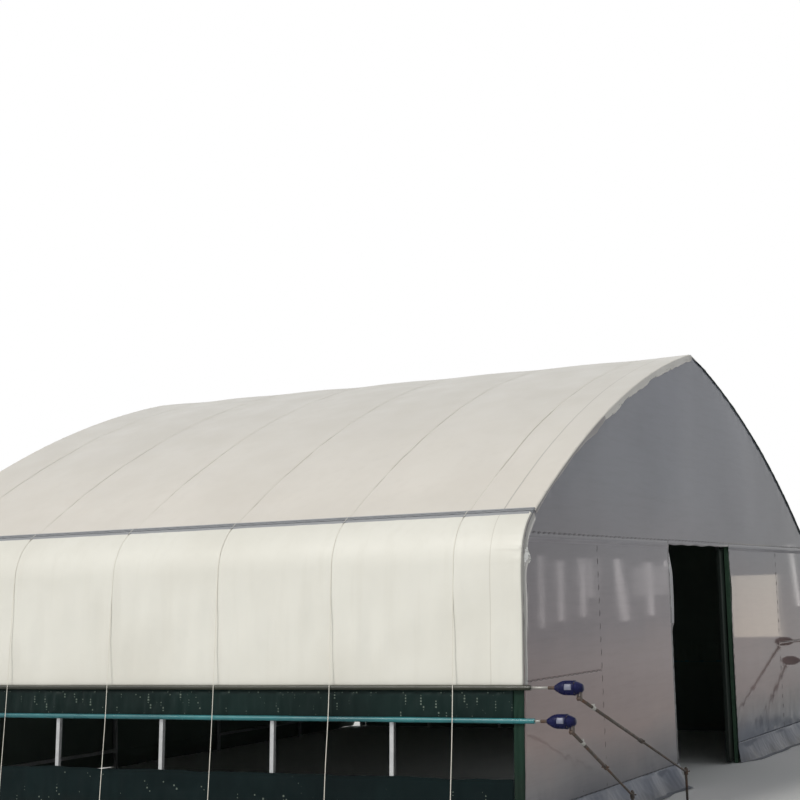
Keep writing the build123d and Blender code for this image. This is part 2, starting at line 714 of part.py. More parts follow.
write("upper_roll_right", upper_roll)
write("upper_roll_left", flip(upper_roll))
write("lower_roll_right", lower_roll)
write("lower_roll_left", flip(lower_roll))
write("upper_drive_right", upper_drive)
write("upper_drive_left", flip(upper_drive))
write("lower_drive_right", lower_drive)
write("lower_drive_left", flip(lower_drive))
write("guide_arms_right", upper_arm, lower_arm)
write("guide_arms_left", flip(upper_arm), flip(lower_arm))
write("press_belts", *belts)
stakes = [upper_stake, lower_stake, *pegs]
write("stakes_and_pegs", *stakes, *[flip(s) for s in stakes])

write("door_track", door_track())
write("door_leaf_frame", leaf_frame())
write("door_leaf_film", leaf_film())
write("door_hangers", *hangers)
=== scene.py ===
import math
from types import SimpleNamespace

import bpy
import numpy as np
from mathutils import Matrix, Quaternion, Vector


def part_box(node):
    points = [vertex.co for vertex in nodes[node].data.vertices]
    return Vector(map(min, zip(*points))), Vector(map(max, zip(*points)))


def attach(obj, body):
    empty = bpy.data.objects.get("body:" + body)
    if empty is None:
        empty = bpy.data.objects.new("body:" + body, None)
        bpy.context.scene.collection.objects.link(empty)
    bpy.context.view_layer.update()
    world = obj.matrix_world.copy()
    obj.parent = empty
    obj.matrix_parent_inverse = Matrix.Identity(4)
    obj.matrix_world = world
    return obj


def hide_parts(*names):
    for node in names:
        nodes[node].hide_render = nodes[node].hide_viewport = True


# An arched tunnel greenhouse of film on hoops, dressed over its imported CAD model.
# Metres throughout. X runs across the house, Y from the door end to the back, Z up from the ground.

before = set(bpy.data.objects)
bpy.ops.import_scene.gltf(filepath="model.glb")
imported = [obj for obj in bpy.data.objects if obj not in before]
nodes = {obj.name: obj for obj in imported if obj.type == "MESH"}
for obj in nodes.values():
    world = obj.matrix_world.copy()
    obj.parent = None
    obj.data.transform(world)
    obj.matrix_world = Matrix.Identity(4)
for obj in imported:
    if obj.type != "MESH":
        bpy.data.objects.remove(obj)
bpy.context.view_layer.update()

# Sizes that the film follows, the same as in the CAD source
FACE_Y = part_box("front_upper_film")[0].y
BACK_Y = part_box("back_film")[1].y
BAYS = 6
BAY = 1.0
TUBE_HALF = 0.016
GABLE_DEPTH = 0.0276
FIRST_HOOP_Y = FACE_Y + GABLE_DEPTH
LAST_HOOP_Y = FIRST_HOOP_Y + BAYS * BAY
FOOT_HALF = 4.36
EAVE_HALF = 4.0
EAVE_Z = 2.27
RIDGE_Z = 3.88
ARCH_R = 12.1
KNEE_R = 0.45
LEAN = math.radians(3.6)
EAVE_GAP = 0.0305
POST_X = 2.75
DOOR_HALF = 0.9375
DOOR_POST_X = DOOR_HALF + TUBE_HALF
DOOR_HEAD_Z = 2.079
SEAM_Z = 2.116
CORNER_RAIL_Z = 1.082
BASE_RAIL_Z = 0.19
LAP_W = 0.08
UPPER_ROLL_Z = 1.045
LOWER_ROLL_Z = 0.822
BASE_SKIRT_Z = 0.43
FAR_SKIRT_Z = 0.805
ROLL_R = 0.019

# Dressed film: its thickness, its stand-off from the hoop line, and how far it keeps from the outline's edge
FILM_T = 0.0011
ROOF_OFF = 0.002
SIDE_OFF = 0.0055
EDGE_IN = 0.001
SIDES = ((1, "right"), (-1, "left"))


# The outline of a hoop, measured along itself from the ridge, right side positive

def arch_centre():
    chord = math.hypot(EAVE_HALF, RIDGE_Z - EAVE_Z)
    depth = math.sqrt(ARCH_R**2 - (chord / 2) ** 2)
    inward = (-(RIDGE_Z - EAVE_Z) / chord, -EAVE_HALF / chord)
    return (EAVE_HALF / 2 + inward[0] * depth, (EAVE_Z + RIDGE_Z) / 2 + inward[1] * depth)


ARCH_C = arch_centre()
LEG_UP = (-math.sin(LEAN), math.cos(LEAN))
LEG_OUT = (math.cos(LEAN), math.sin(LEAN))


def knee_centre():
    gx = FOOT_HALF - LEG_OUT[0] * KNEE_R - ARCH_C[0]
    gz = -LEG_OUT[1] * KNEE_R - ARCH_C[1]
    along = gx * LEG_UP[0] + gz * LEG_UP[1]
    rise = -along + math.sqrt(along**2 + (ARCH_R - KNEE_R) ** 2 - gx**2 - gz**2)
    return (gx + ARCH_C[0] + LEG_UP[0] * rise, gz + ARCH_C[1] + LEG_UP[1] * rise)


KNEE_C = knee_centre()
KNEE_UP = math.atan2(KNEE_C[1] - ARCH_C[1], KNEE_C[0] - ARCH_C[0])
RIDGE_UP = math.acos(-ARCH_C[0] / ARCH_R)
RAFTER_L = ARCH_R * (RIDGE_UP - KNEE_UP)
KNEE_L = KNEE_R * (KNEE_UP - LEAN)
LEG_TOP = (KNEE_C[0] + KNEE_R * LEG_OUT[0], KNEE_C[1] + KNEE_R * LEG_OUT[1])
EAVE_S = ARCH_R * (RIDGE_UP - math.acos((EAVE_HALF - ARCH_C[0]) / ARCH_R))


def outline(s, off):
    """X, Z and outward normal of the hoop's outline at s, moved outwards by off."""
    s = np.asarray(s, float)
    a = np.abs(s)
    turn = np.where(a < RAFTER_L, RIDGE_UP - a / ARCH_R, KNEE_UP - (a - RAFTER_L) / KNEE_R)
    turn = np.maximum(turn, LEAN)
    down = np.maximum(a - RAFTER_L - KNEE_L, 0)
    radius = np.where(a < RAFTER_L, ARCH_R, KNEE_R)
    cx = np.where(a < RAFTER_L, ARCH_C[0], KNEE_C[0])
    cz = np.where(a < RAFTER_L, ARCH_C[1], KNEE_C[1])
    x = cx + radius * np.cos(turn) - LEG_UP[0] * down
    z = cz + radius * np.sin(turn) - LEG_UP[1] * down
    soft = np.clip(a / 0.12, 0, 1)
    nx = np.cos(turn) * soft
    nz = np.sqrt(1 - nx**2)
    side = np.where(s < 0, -1.0, 1.0)
    return side * (x + nx * off), z + nz * off, side * nx, nz


def s_at_z(z):
    """Distance along the outline, from the ridge, of a height on the straight leg."""
    return RAFTER_L + KNEE_L + (LEG_TOP[1] - z) / LEG_UP[1]


def edge_x(z):
    """Half width of the gable at height z."""
    z = np.asarray(z, float)
    leg = FOOT_HALF - z * math.tan(LEAN)
    knee = KNEE_C[0] + np.sqrt(np.maximum(KNEE_R**2 - (z - KNEE_C[1]) ** 2, 0))
    rafter = ARCH_C[0] + np.sqrt(ARCH_R**2 - (z - ARCH_C[1]) ** 2)
    knee_top = KNEE_C[1] + KNEE_R * math.sin(KNEE_UP)
    return np.where(z <= LEG_TOP[1], leg, np.where(z <= knee_top, knee, rafter))


def leg_x(z, off):
    """X of the straight leg at height z, moved outwards by off."""
    return FOOT_HALF - z * math.tan(LEAN) + off / math.cos(LEAN)


def top_z(x):
    """Height of the outline above x, for the roof and the knee."""
    a = np.abs(np.asarray(x, float))
    knee_top_x = KNEE_C[0] + KNEE_R * math.cos(KNEE_UP)
    rafter = ARCH_C[1] + np.sqrt(np.maximum(ARCH_R**2 - (a - ARCH_C[0]) ** 2, 0))
    knee = KNEE_C[1] + np.sqrt(np.maximum(KNEE_R**2 - (a - KNEE_C[0]) ** 2, 0))
    return np.where(a <= knee_top_x, rafter, knee)


# Small tools

def waves(seed, size, u, v, count=12, stretch=1.0):
    """Smooth seeded noise of about unit height, from plane waves near the given size."""
    rng = np.random.default_rng(seed)
    total = 0
    for turn, pace, start in zip(
        rng.uniform(0, 2 * math.pi, count), rng.uniform(0.6, 1.6, count), rng.uniform(0, 2 * math.pi, count)
    ):
        k = 2 * math.pi * pace / size
        total = total + np.sin(k * (math.cos(turn) * u + math.sin(turn) * v / stretch) + start)
    return total / math.sqrt(count / 2)


def creases(seed, size, u, v, octaves=3, stretch=1.0):
    """Sharp-ridged noise for crumpled film, from 0 to about 1."""
    total = 0
    weight = 0
    for i in range(octaves):
        share = 0.55**i
        ridge = 1 - np.abs(waves(seed + i, size / 2**i, u, v, 6, stretch)) * 0.8
        total = total + share * np.clip(ridge, 0, 1) ** 2
        weight += share
    return total / weight


def ease(t):
    t = np.clip(t, 0, 1)
    return t * t * (3 - 2 * t)


def lines(start, end, step, dense=()):
    """Grid lines from start to end, closer together about the dense places (centre, half width, step)."""
    places = list(np.linspace(start, end, max(2, int(round(abs(end - start) / step)) + 1)))
    low, high = min(start, end), max(start, end)
    for centre, half, fine in dense:
        places = [p for p in places if abs(p - centre) > half or p in (start, end)]
        extra = np.linspace(centre - half, centre + half, int(round(2 * half / fine)) + 1)
        places += [p for p in extra if low < p < high]
    places = sorted(set(round(float(p), 6) for p in places))
    places = [places[0]] + [p for i, p in enumerate(places[1:]) if p - places[i] > 0.0012 or p == high]
    return np.array(places if end > start else places[::-1])


class Build:
    """Vertices and faces of one piece, gathered from several shapes."""

    def __init__(self):
        self.points = []
        self.faces = []
        self.marks = []
        self.flats = []

    def add(self, points, faces, mark=0, flat=False):
        start = len(self.points)
        self.points += [tuple(float(c) for c in p) for p in points]
        self.faces += [tuple(int(i) + start for i in f) for f in faces]
        self.marks += [mark] * len(faces)
        self.flats += [flat] * len(faces)
        return self

    def piece(self, name, materials, body="house", slot=None, replaces=()):
        mesh = bpy.data.meshes.new(name)
        mesh.from_pydata(self.points, [], self.faces)
        mesh.polygons.foreach_set("material_index", self.marks)
        mesh.polygons.foreach_set("use_smooth", [not f for f in self.flats])
        for material in materials:
            mesh.materials.append(material)
        mesh.update()
        piece = bpy.data.objects.new(name, mesh)
        bpy.context.collection.objects.link(piece)
        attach(piece, body)
        if replaces:
            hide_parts(*replaces)
        return piece


def sheet_shape(grid, thickness=FILM_T, flip=False):
    """Points, faces and marks of a film: the grid is its outer face, and a rim joins it to the inner one."""
    rows, cols = grid.shape[:2]
    along = np.gradient(grid, axis=0)
    across = np.gradient(grid, axis=1)
    normal = np.cross(along, across)
    normal /= np.maximum(np.linalg.norm(normal, axis=2, keepdims=True), 1e-12)
    if flip:
        normal = -normal
    inner = grid - normal * thickness
    points = np.concatenate([grid.reshape(-1, 3), inner.reshape(-1, 3)])
    index = np.arange(rows * cols).reshape(rows, cols)
    a, b, c, d = index[:-1, :-1], index[1:, :-1], index[1:, 1:], index[:-1, 1:]
    front = np.stack([a, b, c, d], -1).reshape(-1, 4)
    if flip:
        front = front[:, ::-1]
    back = front[:, ::-1] + rows * cols
    ring = np.concatenate([index[0, :], index[1:, -1], index[-1, -2::-1], index[-2:0:-1, 0]])
    nxt = np.roll(ring, -1)
    rim = np.stack([ring, nxt, nxt + rows * cols, ring + rows * cols], -1)
    if flip:
        rim = rim[:, ::-1]
    faces = np.concatenate([front, back, rim])
    return points, faces, [0] * len(front) + [1] * len(back) + [0] * len(rim)


def face_marks(grid):
    """A mark for each face of the grid, zero to begin with."""
    return np.zeros((grid.shape[0] - 1, grid.shape[1] - 1), int)


def film_piece(name, grid, materials, slot, replaces=(), body="house", flip=False, marks=None):
    """marks gives the material of each face of the outer side, by row and column."""
    points, faces, kinds = sheet_shape(grid, FILM_T, flip)
    if marks is not None:
        kinds[:marks.size] = [int(m) for m in marks.ravel()]
    build = Build()
    build.add(points, faces)
    build.marks = kinds
    rim = 2 * (grid.shape[0] + grid.shape[1]) - 4
    build.flats[-rim:] = [True] * rim
    return build.piece(name, materials, body, slot, replaces)


def skin(rings, sides):
    """Faces between rings of points that follow each other."""
    faces = []
    for i in range(rings - 1):
        for k in range(sides):
            n = (k + 1) % sides
            faces.append((i * sides + k, i * sides + n, (i + 1) * sides + n, (i + 1) * sides + k))
    return faces


def caps(rings, sides):
    """Faces that close the first and the last ring."""
    return [tuple(range(sides))[::-1], tuple((rings - 1) * sides + k for k in range(sides))]


def tube(points, radius, sides):
    """Points and faces of a round bar along a path."""
    path = np.array(points, float)
    count = len(path)
    radii = np.broadcast_to(np.asarray(radius, float), (count,))
    heading = np.gradient(path, axis=0)
    heading /= np.linalg.norm(heading, axis=1, keepdims=True)
    side = np.cross(heading[0], (0.0, 0.0, 1.0))
    if np.linalg.norm(side) < 1e-3:
        side = np.cross(heading[0], (1.0, 0.0, 0.0))
    turns = np.arange(sides) * 2 * math.pi / sides
    out = []
    for i in range(count):
        side = side - heading[i] * (side @ heading[i])
        side /= np.linalg.norm(side)
        up = np.cross(heading[i], side)
        out.append(path[i] + radii[i] * (np.cos(turns)[:, None] * side + np.sin(turns)[:, None] * up))
    return np.concatenate(out), skin(count, sides) + caps(count, sides)


def lathe(start, way, profile, sides):
    """Points and faces of a shape turned round the line from start along way; profile is reach and radius."""
    way = np.array(way, float) / np.linalg.norm(way)
    path = [np.array(start, float) + way * reach for reach, radius in profile]
    side = np.cross(way, (0.0, 0.0, 1.0))
    if np.linalg.norm(side) < 1e-3:
        side = np.array((1.0, 0.0, 0.0))
    side /= np.linalg.norm(side)
    up = np.cross(way, side)
    turns = np.arange(sides) * 2 * math.pi / sides
    ring = np.cos(turns)[:, None] * side + np.sin(turns)[:, None] * up
    points = np.concatenate([p + radius * ring for p, (reach, radius) in zip(path, profile)])
    return points, skin(len(profile), sides) + caps(len(profile), sides)


def slab(centre, size, bevel):
    """Points and faces of a block with bevelled edges all round."""
    half = np.array(size, float) / 2
    bevel = min(bevel, *(half * 0.95))
    levels = [(-half[2], 1), (-half[2] + bevel, 0), (half[2] - bevel, 0), (half[2], 1)]
    points = []
    for z, inset in levels:
        x = half[0] - bevel * inset
        y = half[1] - bevel * inset
        c = bevel
        points += [
            (x - c, -y, z), (x, -y + c, z), (x, y - c, z), (x - c, y, z),
            (-x + c, y, z), (-x, y - c, z), (-x, -y + c, z), (-x + c, -y, z),
        ]
    return np.array(points) + np.array(centre, float), caps(4, 8) + skin(4, 8)


# Materials

def put(tree, node, inputs):
    """Set a node's inputs, and link those that are given as sockets."""
    for key, value in inputs.items():
        if isinstance(value, bpy.types.NodeSocket):
            tree.links.new(value, node.inputs[key])
        else:
            node.inputs[key].default_value = value


def made(tree, kind, inputs, **settings):
    """New node with its settings and inputs."""
    node = tree.nodes.new(kind)
    for key, value in settings.items():
        setattr(node, key, value)
    put(tree, node, inputs)
    return node


def plain(name, rough, metallic=0.0, specular=0.5):
    material = bpy.data.materials.new(name)
    material.use_nodes = True
    tree = material.node_tree
    shader = tree.nodes["Principled BSDF"]
    put(tree, shader, {"Roughness": rough, "Metallic": metallic, "Specular IOR Level": specular})
    return material, tree, shader, tree.nodes.new("ShaderNodeTexCoord").outputs["Object"]


def scaled(tree, place, scale):
    return made(tree, "ShaderNodeMapping", {"Vector": place, "Scale": scale}).outputs["Vector"]


def noise(tree, place, scale, detail=3.0, rough=0.55):
    inputs = {"Vector": place, "Scale": scale, "Detail": detail, "Roughness": rough}
    return made(tree, "ShaderNodeTexNoise", inputs).outputs["Fac"]


def ramp(tree, value, low, high, to_low=0.0, to_high=1.0):
    inputs = {"Value": value, "From Min": low, "From Max": high, "To Min": to_low, "To Max": to_high}
    return made(tree, "ShaderNodeMapRange", inputs).outputs["Result"]


def maths(tree, kind, a, b):
    return made(tree, "ShaderNodeMath", {0: a, 1: b}, operation=kind).outputs["Value"]


def mixed(tree, share, a, b, blend="MIX"):
    """Colour mix; a and b are colours or sockets."""
    a, b = ((*value, 1) if isinstance(value, tuple) else value for value in (a, b))
    inputs = {"Factor": share, 6: a, 7: b}
    return made(tree, "ShaderNodeMix", inputs, data_type="RGBA", blend_type=blend).outputs[2]


def dimmed(tree, share, base, factor):
    """Base colour, darkened to factor of itself where share is one."""
    return mixed(tree, share, base, (factor, factor, factor), "MULTIPLY")


def bump(tree, shader, height, strength, distance):
    node = made(tree, "ShaderNodeBump", {"Strength": strength, "Distance": distance, "Height": height})
    tree.links.new(node.outputs["Normal"], shader.inputs["Normal"])


def surface(tree, shader, base, gloss, rough, relief, strength, depth):
    """Give a shader its colour, a roughness that runs between two values with gloss, and a relief."""
    put(tree, shader, {"Base Color": base, "Roughness": ramp(tree, gloss, 0.3, 0.7, *rough)})
    bump(tree, shader, relief, strength, depth)


def banded(tree, height, bands):
    """Colour that changes with height; bands holds pairs of height and colour."""
    node = tree.nodes.new("ShaderNodeValToRGB")
    low, high = bands[0][0], bands[-1][0]
    while len(node.color_ramp.elements) < len(bands):
        node.color_ramp.elements.new(0.5)
    for stop, (z, colour) in zip(node.color_ramp.elements, bands):
        stop.position = (z - low) / (high - low)
    for stop, (z, colour) in zip(node.color_ramp.elements, bands):
        stop.color = (*colour, 1)
    tree.links.new(ramp(tree, height, low, high), node.inputs["Fac"])
    return node.outputs["Color"]


FILM_RELIEF = 0.006


def gable_material(name, left, right, rough, crinkle, specular):
    """Gable film: bands of height for the left and the right of the door, which paint the film's shade and
    what it mirrors, with faint clouds and run-off.
    """
    material, tree, shader, place = plain(name, 0.1, 0.0, specular)
    parts = made(tree, "ShaderNodeSeparateXYZ", {"Vector": place}).outputs
    wobble = maths(tree, "MULTIPLY", noise(tree, place, 1.1, 3.0), 0.30)
    height = maths(tree, "ADD", parts["Z"], maths(tree, "SUBTRACT", wobble, 0.15))
    across = ramp(tree, parts["X"], -0.9, 1.3)
    base = mixed(tree, across, banded(tree, height, left), banded(tree, height, right))
    base = dimmed(tree, ramp(tree, noise(tree, place, 0.9, 4.0), 0.38, 0.66), base, 0.93)
    brushed = noise(tree, scaled(tree, place, (2.2, 2.2, 26.0)), 1.0, 4.0, 0.65)
    base = dimmed(tree, ramp(tree, brushed, 0.45, 0.72), base, 0.95)
    # Painted shade: darker towards the right corner, and a little towards the left one
    base = dimmed(tree, ramp(tree, parts["X"], 1.6, 3.3), base, 0.74)
    base = dimmed(tree, ramp(tree, parts["X"], -1.3, -3.9), base, 0.94)
    relief = noise(tree, place, 14.0, 3.0, 0.6)
    surface(tree, shader, base, noise(tree, place, 3.0, 4.0), rough, relief, crinkle, FILM_RELIEF)
    return material


def film_material(name, colour, shade, dust, rough, crinkle, dust_z=0.55, specular=0.5, top=None):
    """Plastic film: clouded colour, run-off streaks, dust near the ground and fine crinkles."""
    material, tree, shader, place = plain(name, 0.25, 0.0, specular)
    cloud = ramp(tree, noise(tree, place, 0.9, 4.0), 0.38, 0.66)
    streak = ramp(tree, noise(tree, scaled(tree, place, (9.0, 9.0, 0.5)), 1.0, 3.0), 0.5, 0.72, 0.0, 0.45)
    base = mixed(tree, streak, mixed(tree, cloud, colour, shade), shade)
    height = made(tree, "ShaderNodeSeparateXYZ", {"Vector": place}).outputs["Z"]
    # top mixes a darker colour in with height: painted shade towards the ridge
    if top:
        base = mixed(tree, ramp(tree, height, top[1], top[2]), base, top[0])
    low = ramp(tree, height, 0.0, dust_z, 1.0, 0.0)
    patch = ramp(tree, noise(tree, place, 4.5, 5.0), 0.3, 0.7, 0.15, 1.0)
    base = mixed(tree, maths(tree, "MULTIPLY", low, patch), base, dust)
    relief = maths(tree, "ADD", noise(tree, place, 14.0, 5.0, 0.6), noise(tree, place, 240.0, 2.0))
    surface(tree, shader, base, noise(tree, place, 3.0, 4.0), rough, relief, crinkle, FILM_RELIEF)
    return material


def steel_material(name, colour, spot, rough=0.42, metallic=0.75, rust=None, specular=0.5):
    """Galvanised or painted steel with spangle, scuffs and, where given, rust."""
    material, tree, shader, place = plain(name, rough, metallic, specular)
    spangle = made(tree, "ShaderNodeTexVoronoi", {"Vector": place, "Scale": 90.0}).outputs["Distance"]
    base = mixed(tree, ramp(tree, spangle, 0.0, 0.6, 0.0, 0.6), colour, spot)
    worn = ramp(tree, noise(tree, place, 11.0, 5.0, 0.65), 0.46, 0.68)
    base = mixed(tree, worn, base, rust or spot)
    gloss, relief = noise(tree, place, 30.0, 4.0), noise(tree, place, 120.0, 4.0)
    surface(tree, shader, base, gloss, (rough - 0.1, rough + 0.18), relief, 0.15, 0.001)
    return material


def moulded_material(name, colour, shade, rough, specular=0.5):
    """Moulded plastic or thick paint with faint grain and dust."""
    material, tree, shader, place = plain(name, rough, 0.0, specular)
    base = mixed(tree, ramp(tree, noise(tree, place, 16.0, 4.0), 0.35, 0.7), colour, shade)
    gloss, relief = noise(tree, place, 40.0, 3.0), noise(tree, place, 500.0, 2.0)
    surface(tree, shader, base, gloss, (rough - 0.08, rough + 0.15), relief, 0.08, 0.0006)
    return material


def webbing_material(name, colour, shade):
    """Woven flat belt: fine cross ribs and soiling."""
    material, tree, shader, place = plain(name, 0.6)
    rib = made(tree, "ShaderNodeTexWave", {"Vector": place, "Scale": 180.0, "Distortion": 0.6}).outputs["Fac"]
    base = mixed(tree, ramp(tree, noise(tree, place, 5.0, 5.0), 0.35, 0.7), colour, shade)
    base = mixed(tree, ramp(tree, rib, 0.0, 1.0, 0.0, 0.35), base, shade)
    put(tree, shader, {"Base Color": base})
    bump(tree, shader, rib, 0.4, 0.0006)
    return material


# White roof film, with painted shade that darkens it towards the ridge
ROOF_WHITE = film_material(
    "film_white_roof", (0.765, 0.725, 0.665), (0.705, 0.665, 0.605), (0.60, 0.57, 0.49), (0.3, 0.45), 0.06,
    top=((0.575, 0.555, 0.51), 2.5, 3.9),
)
# The gable film is white: these bands by height paint its shade and its reflection of the brown ground and
# the pale sky
GABLE_LEFT_SHADE_REFLECTION = (
    (0.15, (0.275, 0.275, 0.300)), (0.30, (0.355, 0.340, 0.350)), (0.48, (0.415, 0.360, 0.355)),
    (0.62, (0.465, 0.370, 0.355)), (0.95, (0.405, 0.325, 0.320)), (1.22, (0.360, 0.295, 0.295)),
    (1.45, (0.300, 0.262, 0.278)), (2.00, (0.262, 0.250, 0.272)), (2.60, (0.243, 0.251, 0.285)),
    (3.60, (0.213, 0.226, 0.272)),
)
GABLE_RIGHT_SHADE_REFLECTION = (
    (0.15, (0.220, 0.240, 0.300)), (0.28, (0.254, 0.272, 0.325)), (0.48, (0.305, 0.268, 0.275)),
    (0.67, (0.392, 0.301, 0.291)), (1.05, (0.300, 0.223, 0.207)), (1.50, (0.240, 0.190, 0.195)),
    (1.85, (0.190, 0.175, 0.190)), (2.08, (0.174, 0.174, 0.197)), (2.60, (0.178, 0.182, 0.213)),
    (3.30, (0.192, 0.203, 0.240)),
)
GABLE_PAINTED_SHADE = gable_material("film_gable_painted_shade", GABLE_LEFT_SHADE_REFLECTION, GABLE_RIGHT_SHADE_REFLECTION, (0.04, 0.065), 0.012, 0.075)
# Back gable: bands of painted shade and painted reflection by height, like the front's
BACK_SHADE_REFLECTION = (
    (0.15, (0.270, 0.275, 0.300)), (0.50, (0.370, 0.345, 0.352)), (1.00, (0.345, 0.315, 0.322)),
    (1.50, (0.290, 0.270, 0.284)), (2.10, (0.255, 0.248, 0.272)), (3.60, (0.215, 0.227, 0.272)),
)
GABLE_BACK = gable_material("film_back_painted_shade", BACK_SHADE_REFLECTION, BACK_SHADE_REFLECTION, (0.06, 0.1), 0.02, 0.1)
# The hem below the seam takes the gable's bands of painted shade and reflection, 1.22 times lighter, in a
# duller finish
HEM_LEFT, HEM_RIGHT = (
    tuple((z, tuple(1.22 * part for part in colour)) for z, colour in bands)
    for bands in (GABLE_LEFT_SHADE_REFLECTION, GABLE_RIGHT_SHADE_REFLECTION)
)
GABLE_DULL = gable_material("film_gable_hem", HEM_LEFT, HEM_RIGHT, (0.4, 0.5), 0.012, 0.075)
# Ground skirts: white film, given a bluish grey as painted shade
SKIRT_SHADED = film_material(
    "film_skirt_painted_shade", (0.225, 0.245, 0.295), (0.17, 0.185, 0.225), (0.16, 0.16, 0.165), (0.34, 0.48), 0.05,
    dust_z=0.12, specular=0.10,
)
FILM_INSIDE = film_material(
    "film_green_inside", (0.165, 0.205, 0.175), (0.125, 0.160, 0.135), (0.14, 0.16, 0.14), (0.4, 0.55), 0.1,
    specular=0.1,
)
# Curtain film: green, darkened to nearly black as painted shade
FILM_GREEN = film_material(
    "film_green", (0.008, 0.022, 0.020), (0.005, 0.013, 0.012), (0.015, 0.02, 0.015), (0.3, 0.42), 0.16,
    specular=0.11,
)
# Corner laps: green film, darkened as painted shade
GREEN_EDGE = film_material(
    "film_green_edge", (0.012, 0.036, 0.024), (0.006, 0.016, 0.011), (0.02, 0.025, 0.02), (0.3, 0.42), 0.16,
    specular=0.11,
)
JAMB_GREEN = film_material(
    "film_green_jamb", (0.007, 0.040, 0.020), (0.004, 0.020, 0.011), (0.012, 0.02, 0.012), (0.3, 0.42), 0.16,
    specular=0.1,
)
TEAL_ROLL = film_material(
    "film_teal_roll", (0.03, 0.22, 0.24), (0.018, 0.12, 0.14), (0.05, 0.14, 0.14), (0.22, 0.36), 0.2,
    dust_z=0.1,
)
OLIVE_ROLL = film_material(
    "film_olive_roll", (0.030, 0.032, 0.018), (0.016, 0.018, 0.011), (0.03, 0.03, 0.02), (0.25, 0.4), 0.2,
    dust_z=0.1,
)
SKIRT_GREEN = film_material(
    "film_green_skirt", (0.005, 0.014, 0.015), (0.003, 0.008, 0.009), (0.010, 0.013, 0.012), (0.3, 0.42), 0.2,
    dust_z=0.25, specular=0.08,
)
SIDE_WHITE = film_material(
    "film_white_side", (0.86, 0.85, 0.79), (0.79, 0.775, 0.71), (0.62, 0.59, 0.50), (0.35, 0.5), 0.08,
    specular=0.2,
)
# Side film along the fine fold: painted shade in the crease
SIDE_CREASE_SHADE = film_material(
    "film_side_crease_painted_shade", (0.74, 0.72, 0.655), (0.68, 0.66, 0.60), (0.5, 0.48, 0.42), (0.35, 0.5), 0.08,
    specular=0.2,
)
# Roof film along the fine fold: painted shade in the crease
ROOF_CREASE_SHADE = film_material(
    "film_crease_painted_shade", (0.56, 0.535, 0.49), (0.52, 0.495, 0.455), (0.4, 0.38, 0.34), (0.3, 0.45), 0.06,
    specular=0.2,
)
# Side film's corner round on to the gable: white film, painted grey as shade
CORNER_SHADED = film_material(
    "film_corner_painted_shade", (0.43, 0.42, 0.395), (0.37, 0.36, 0.345), (0.3, 0.28, 0.26), (0.15, 0.25), 0.1,
    specular=0.3,
)
# Crinkled bunch at the corner: whiter than the side film, a painted highlight
BUNCH_HIGHLIGHT = film_material(
    "film_bunch_painted_highlight", (0.93, 0.93, 0.90), (0.80, 0.80, 0.78), (0.6, 0.6, 0.55), (0.12, 0.22), 0.06
)
# Roof film folded over the gables: painted shade, darker still on the low left fold
FOLD_SHADED = film_material(
    "film_fold", (0.64, 0.62, 0.585), (0.55, 0.53, 0.50), (0.3, 0.28, 0.26), (0.3, 0.45), 0.12, specular=0.3
)
FOLD_SHADE = film_material(
    "film_fold_low", (0.345, 0.325, 0.325), (0.30, 0.285, 0.285), (0.3, 0.28, 0.26), (0.3, 0.45), 0.12,
    specular=0.2,
)
# Film over the eave channel and its grooves: grey as painted shade
CHANNEL_GROOVE_SHADE = film_material(
    "film_over_channel_painted_shade", (0.335, 0.345, 0.37), (0.29, 0.30, 0.325), (0.3, 0.3, 0.3), (0.3, 0.45), 0.06
)
# Lighter film along the door jambs: painted highlight on the film's edge
EDGE_HIGHLIGHT = film_material(
    "film_edge_painted_highlight", (0.33, 0.335, 0.345), (0.25, 0.255, 0.27), (0.3, 0.3, 0.3), (0.2, 0.3), 0.06
)
# Darker film along the left door post's groove: painted shade
POST_GROOVE_SHADE = film_material(
    "film_seam_painted_shade", (0.165, 0.16, 0.17), (0.14, 0.135, 0.145), (0.2, 0.2, 0.2), (0.2, 0.3), 0.06, specular=0.1
)
# Door leaf film: nearly black green, painted shade in the doorway
LEAF_FILM = film_material(
    "film_leaf", (0.022, 0.031, 0.026), (0.016, 0.023, 0.019), (0.03, 0.032, 0.028), (0.4, 0.5), 0.1,
    specular=0.08,
)
GALVANISED = steel_material("steel_galvanised", (0.56, 0.57, 0.57), (0.42, 0.43, 0.44))
# Lock channels: grey steel, darkened as painted shade
CHANNEL_STEEL = steel_material(
    "steel_channel", (0.32, 0.33, 0.35), (0.27, 0.28, 0.30), 0.6, 0.0, specular=0.1
)
POST_GREEN = steel_material(
    "steel_post", (0.076, 0.145, 0.094), (0.050, 0.094, 0.064), 0.55, 0.0, specular=0.12
)
# Door leaf frame: galvanised steel painted nearly black as shade in the doorway
LEAF_STEEL = steel_material(
    "steel_leaf", (0.026, 0.034, 0.030), (0.016, 0.022, 0.019), 0.55, 0.0, specular=0.15
)
EAVE_WIRE = steel_material("wire_eave", (0.33, 0.34, 0.36), (0.26, 0.27, 0.29), 0.5, 0.0)
BROWN_STEEL = steel_material(
    "steel_brown", (0.085, 0.072, 0.062), (0.055, 0.046, 0.04), 0.6, 0.1, rust=(0.12, 0.06, 0.035)
)
PALE_STEEL = steel_material("steel_pale", (0.46, 0.46, 0.43), (0.36, 0.35, 0.33), 0.45, 0.5)
WIRE_FAINT = steel_material("wire_faint", (0.19, 0.165, 0.165), (0.15, 0.13, 0.13), 0.5, 0.0)
WIRE = steel_material("wire_coated", (0.055, 0.05, 0.05), (0.03, 0.028, 0.028), 0.5, 0.1)
BLUE = moulded_material("housing_blue", (0.007, 0.009, 0.062), (0.004, 0.006, 0.040), 0.28, 0.16)
PLATE = moulded_material("plate_pale", (0.22, 0.23, 0.31), (0.17, 0.18, 0.25), 0.4)
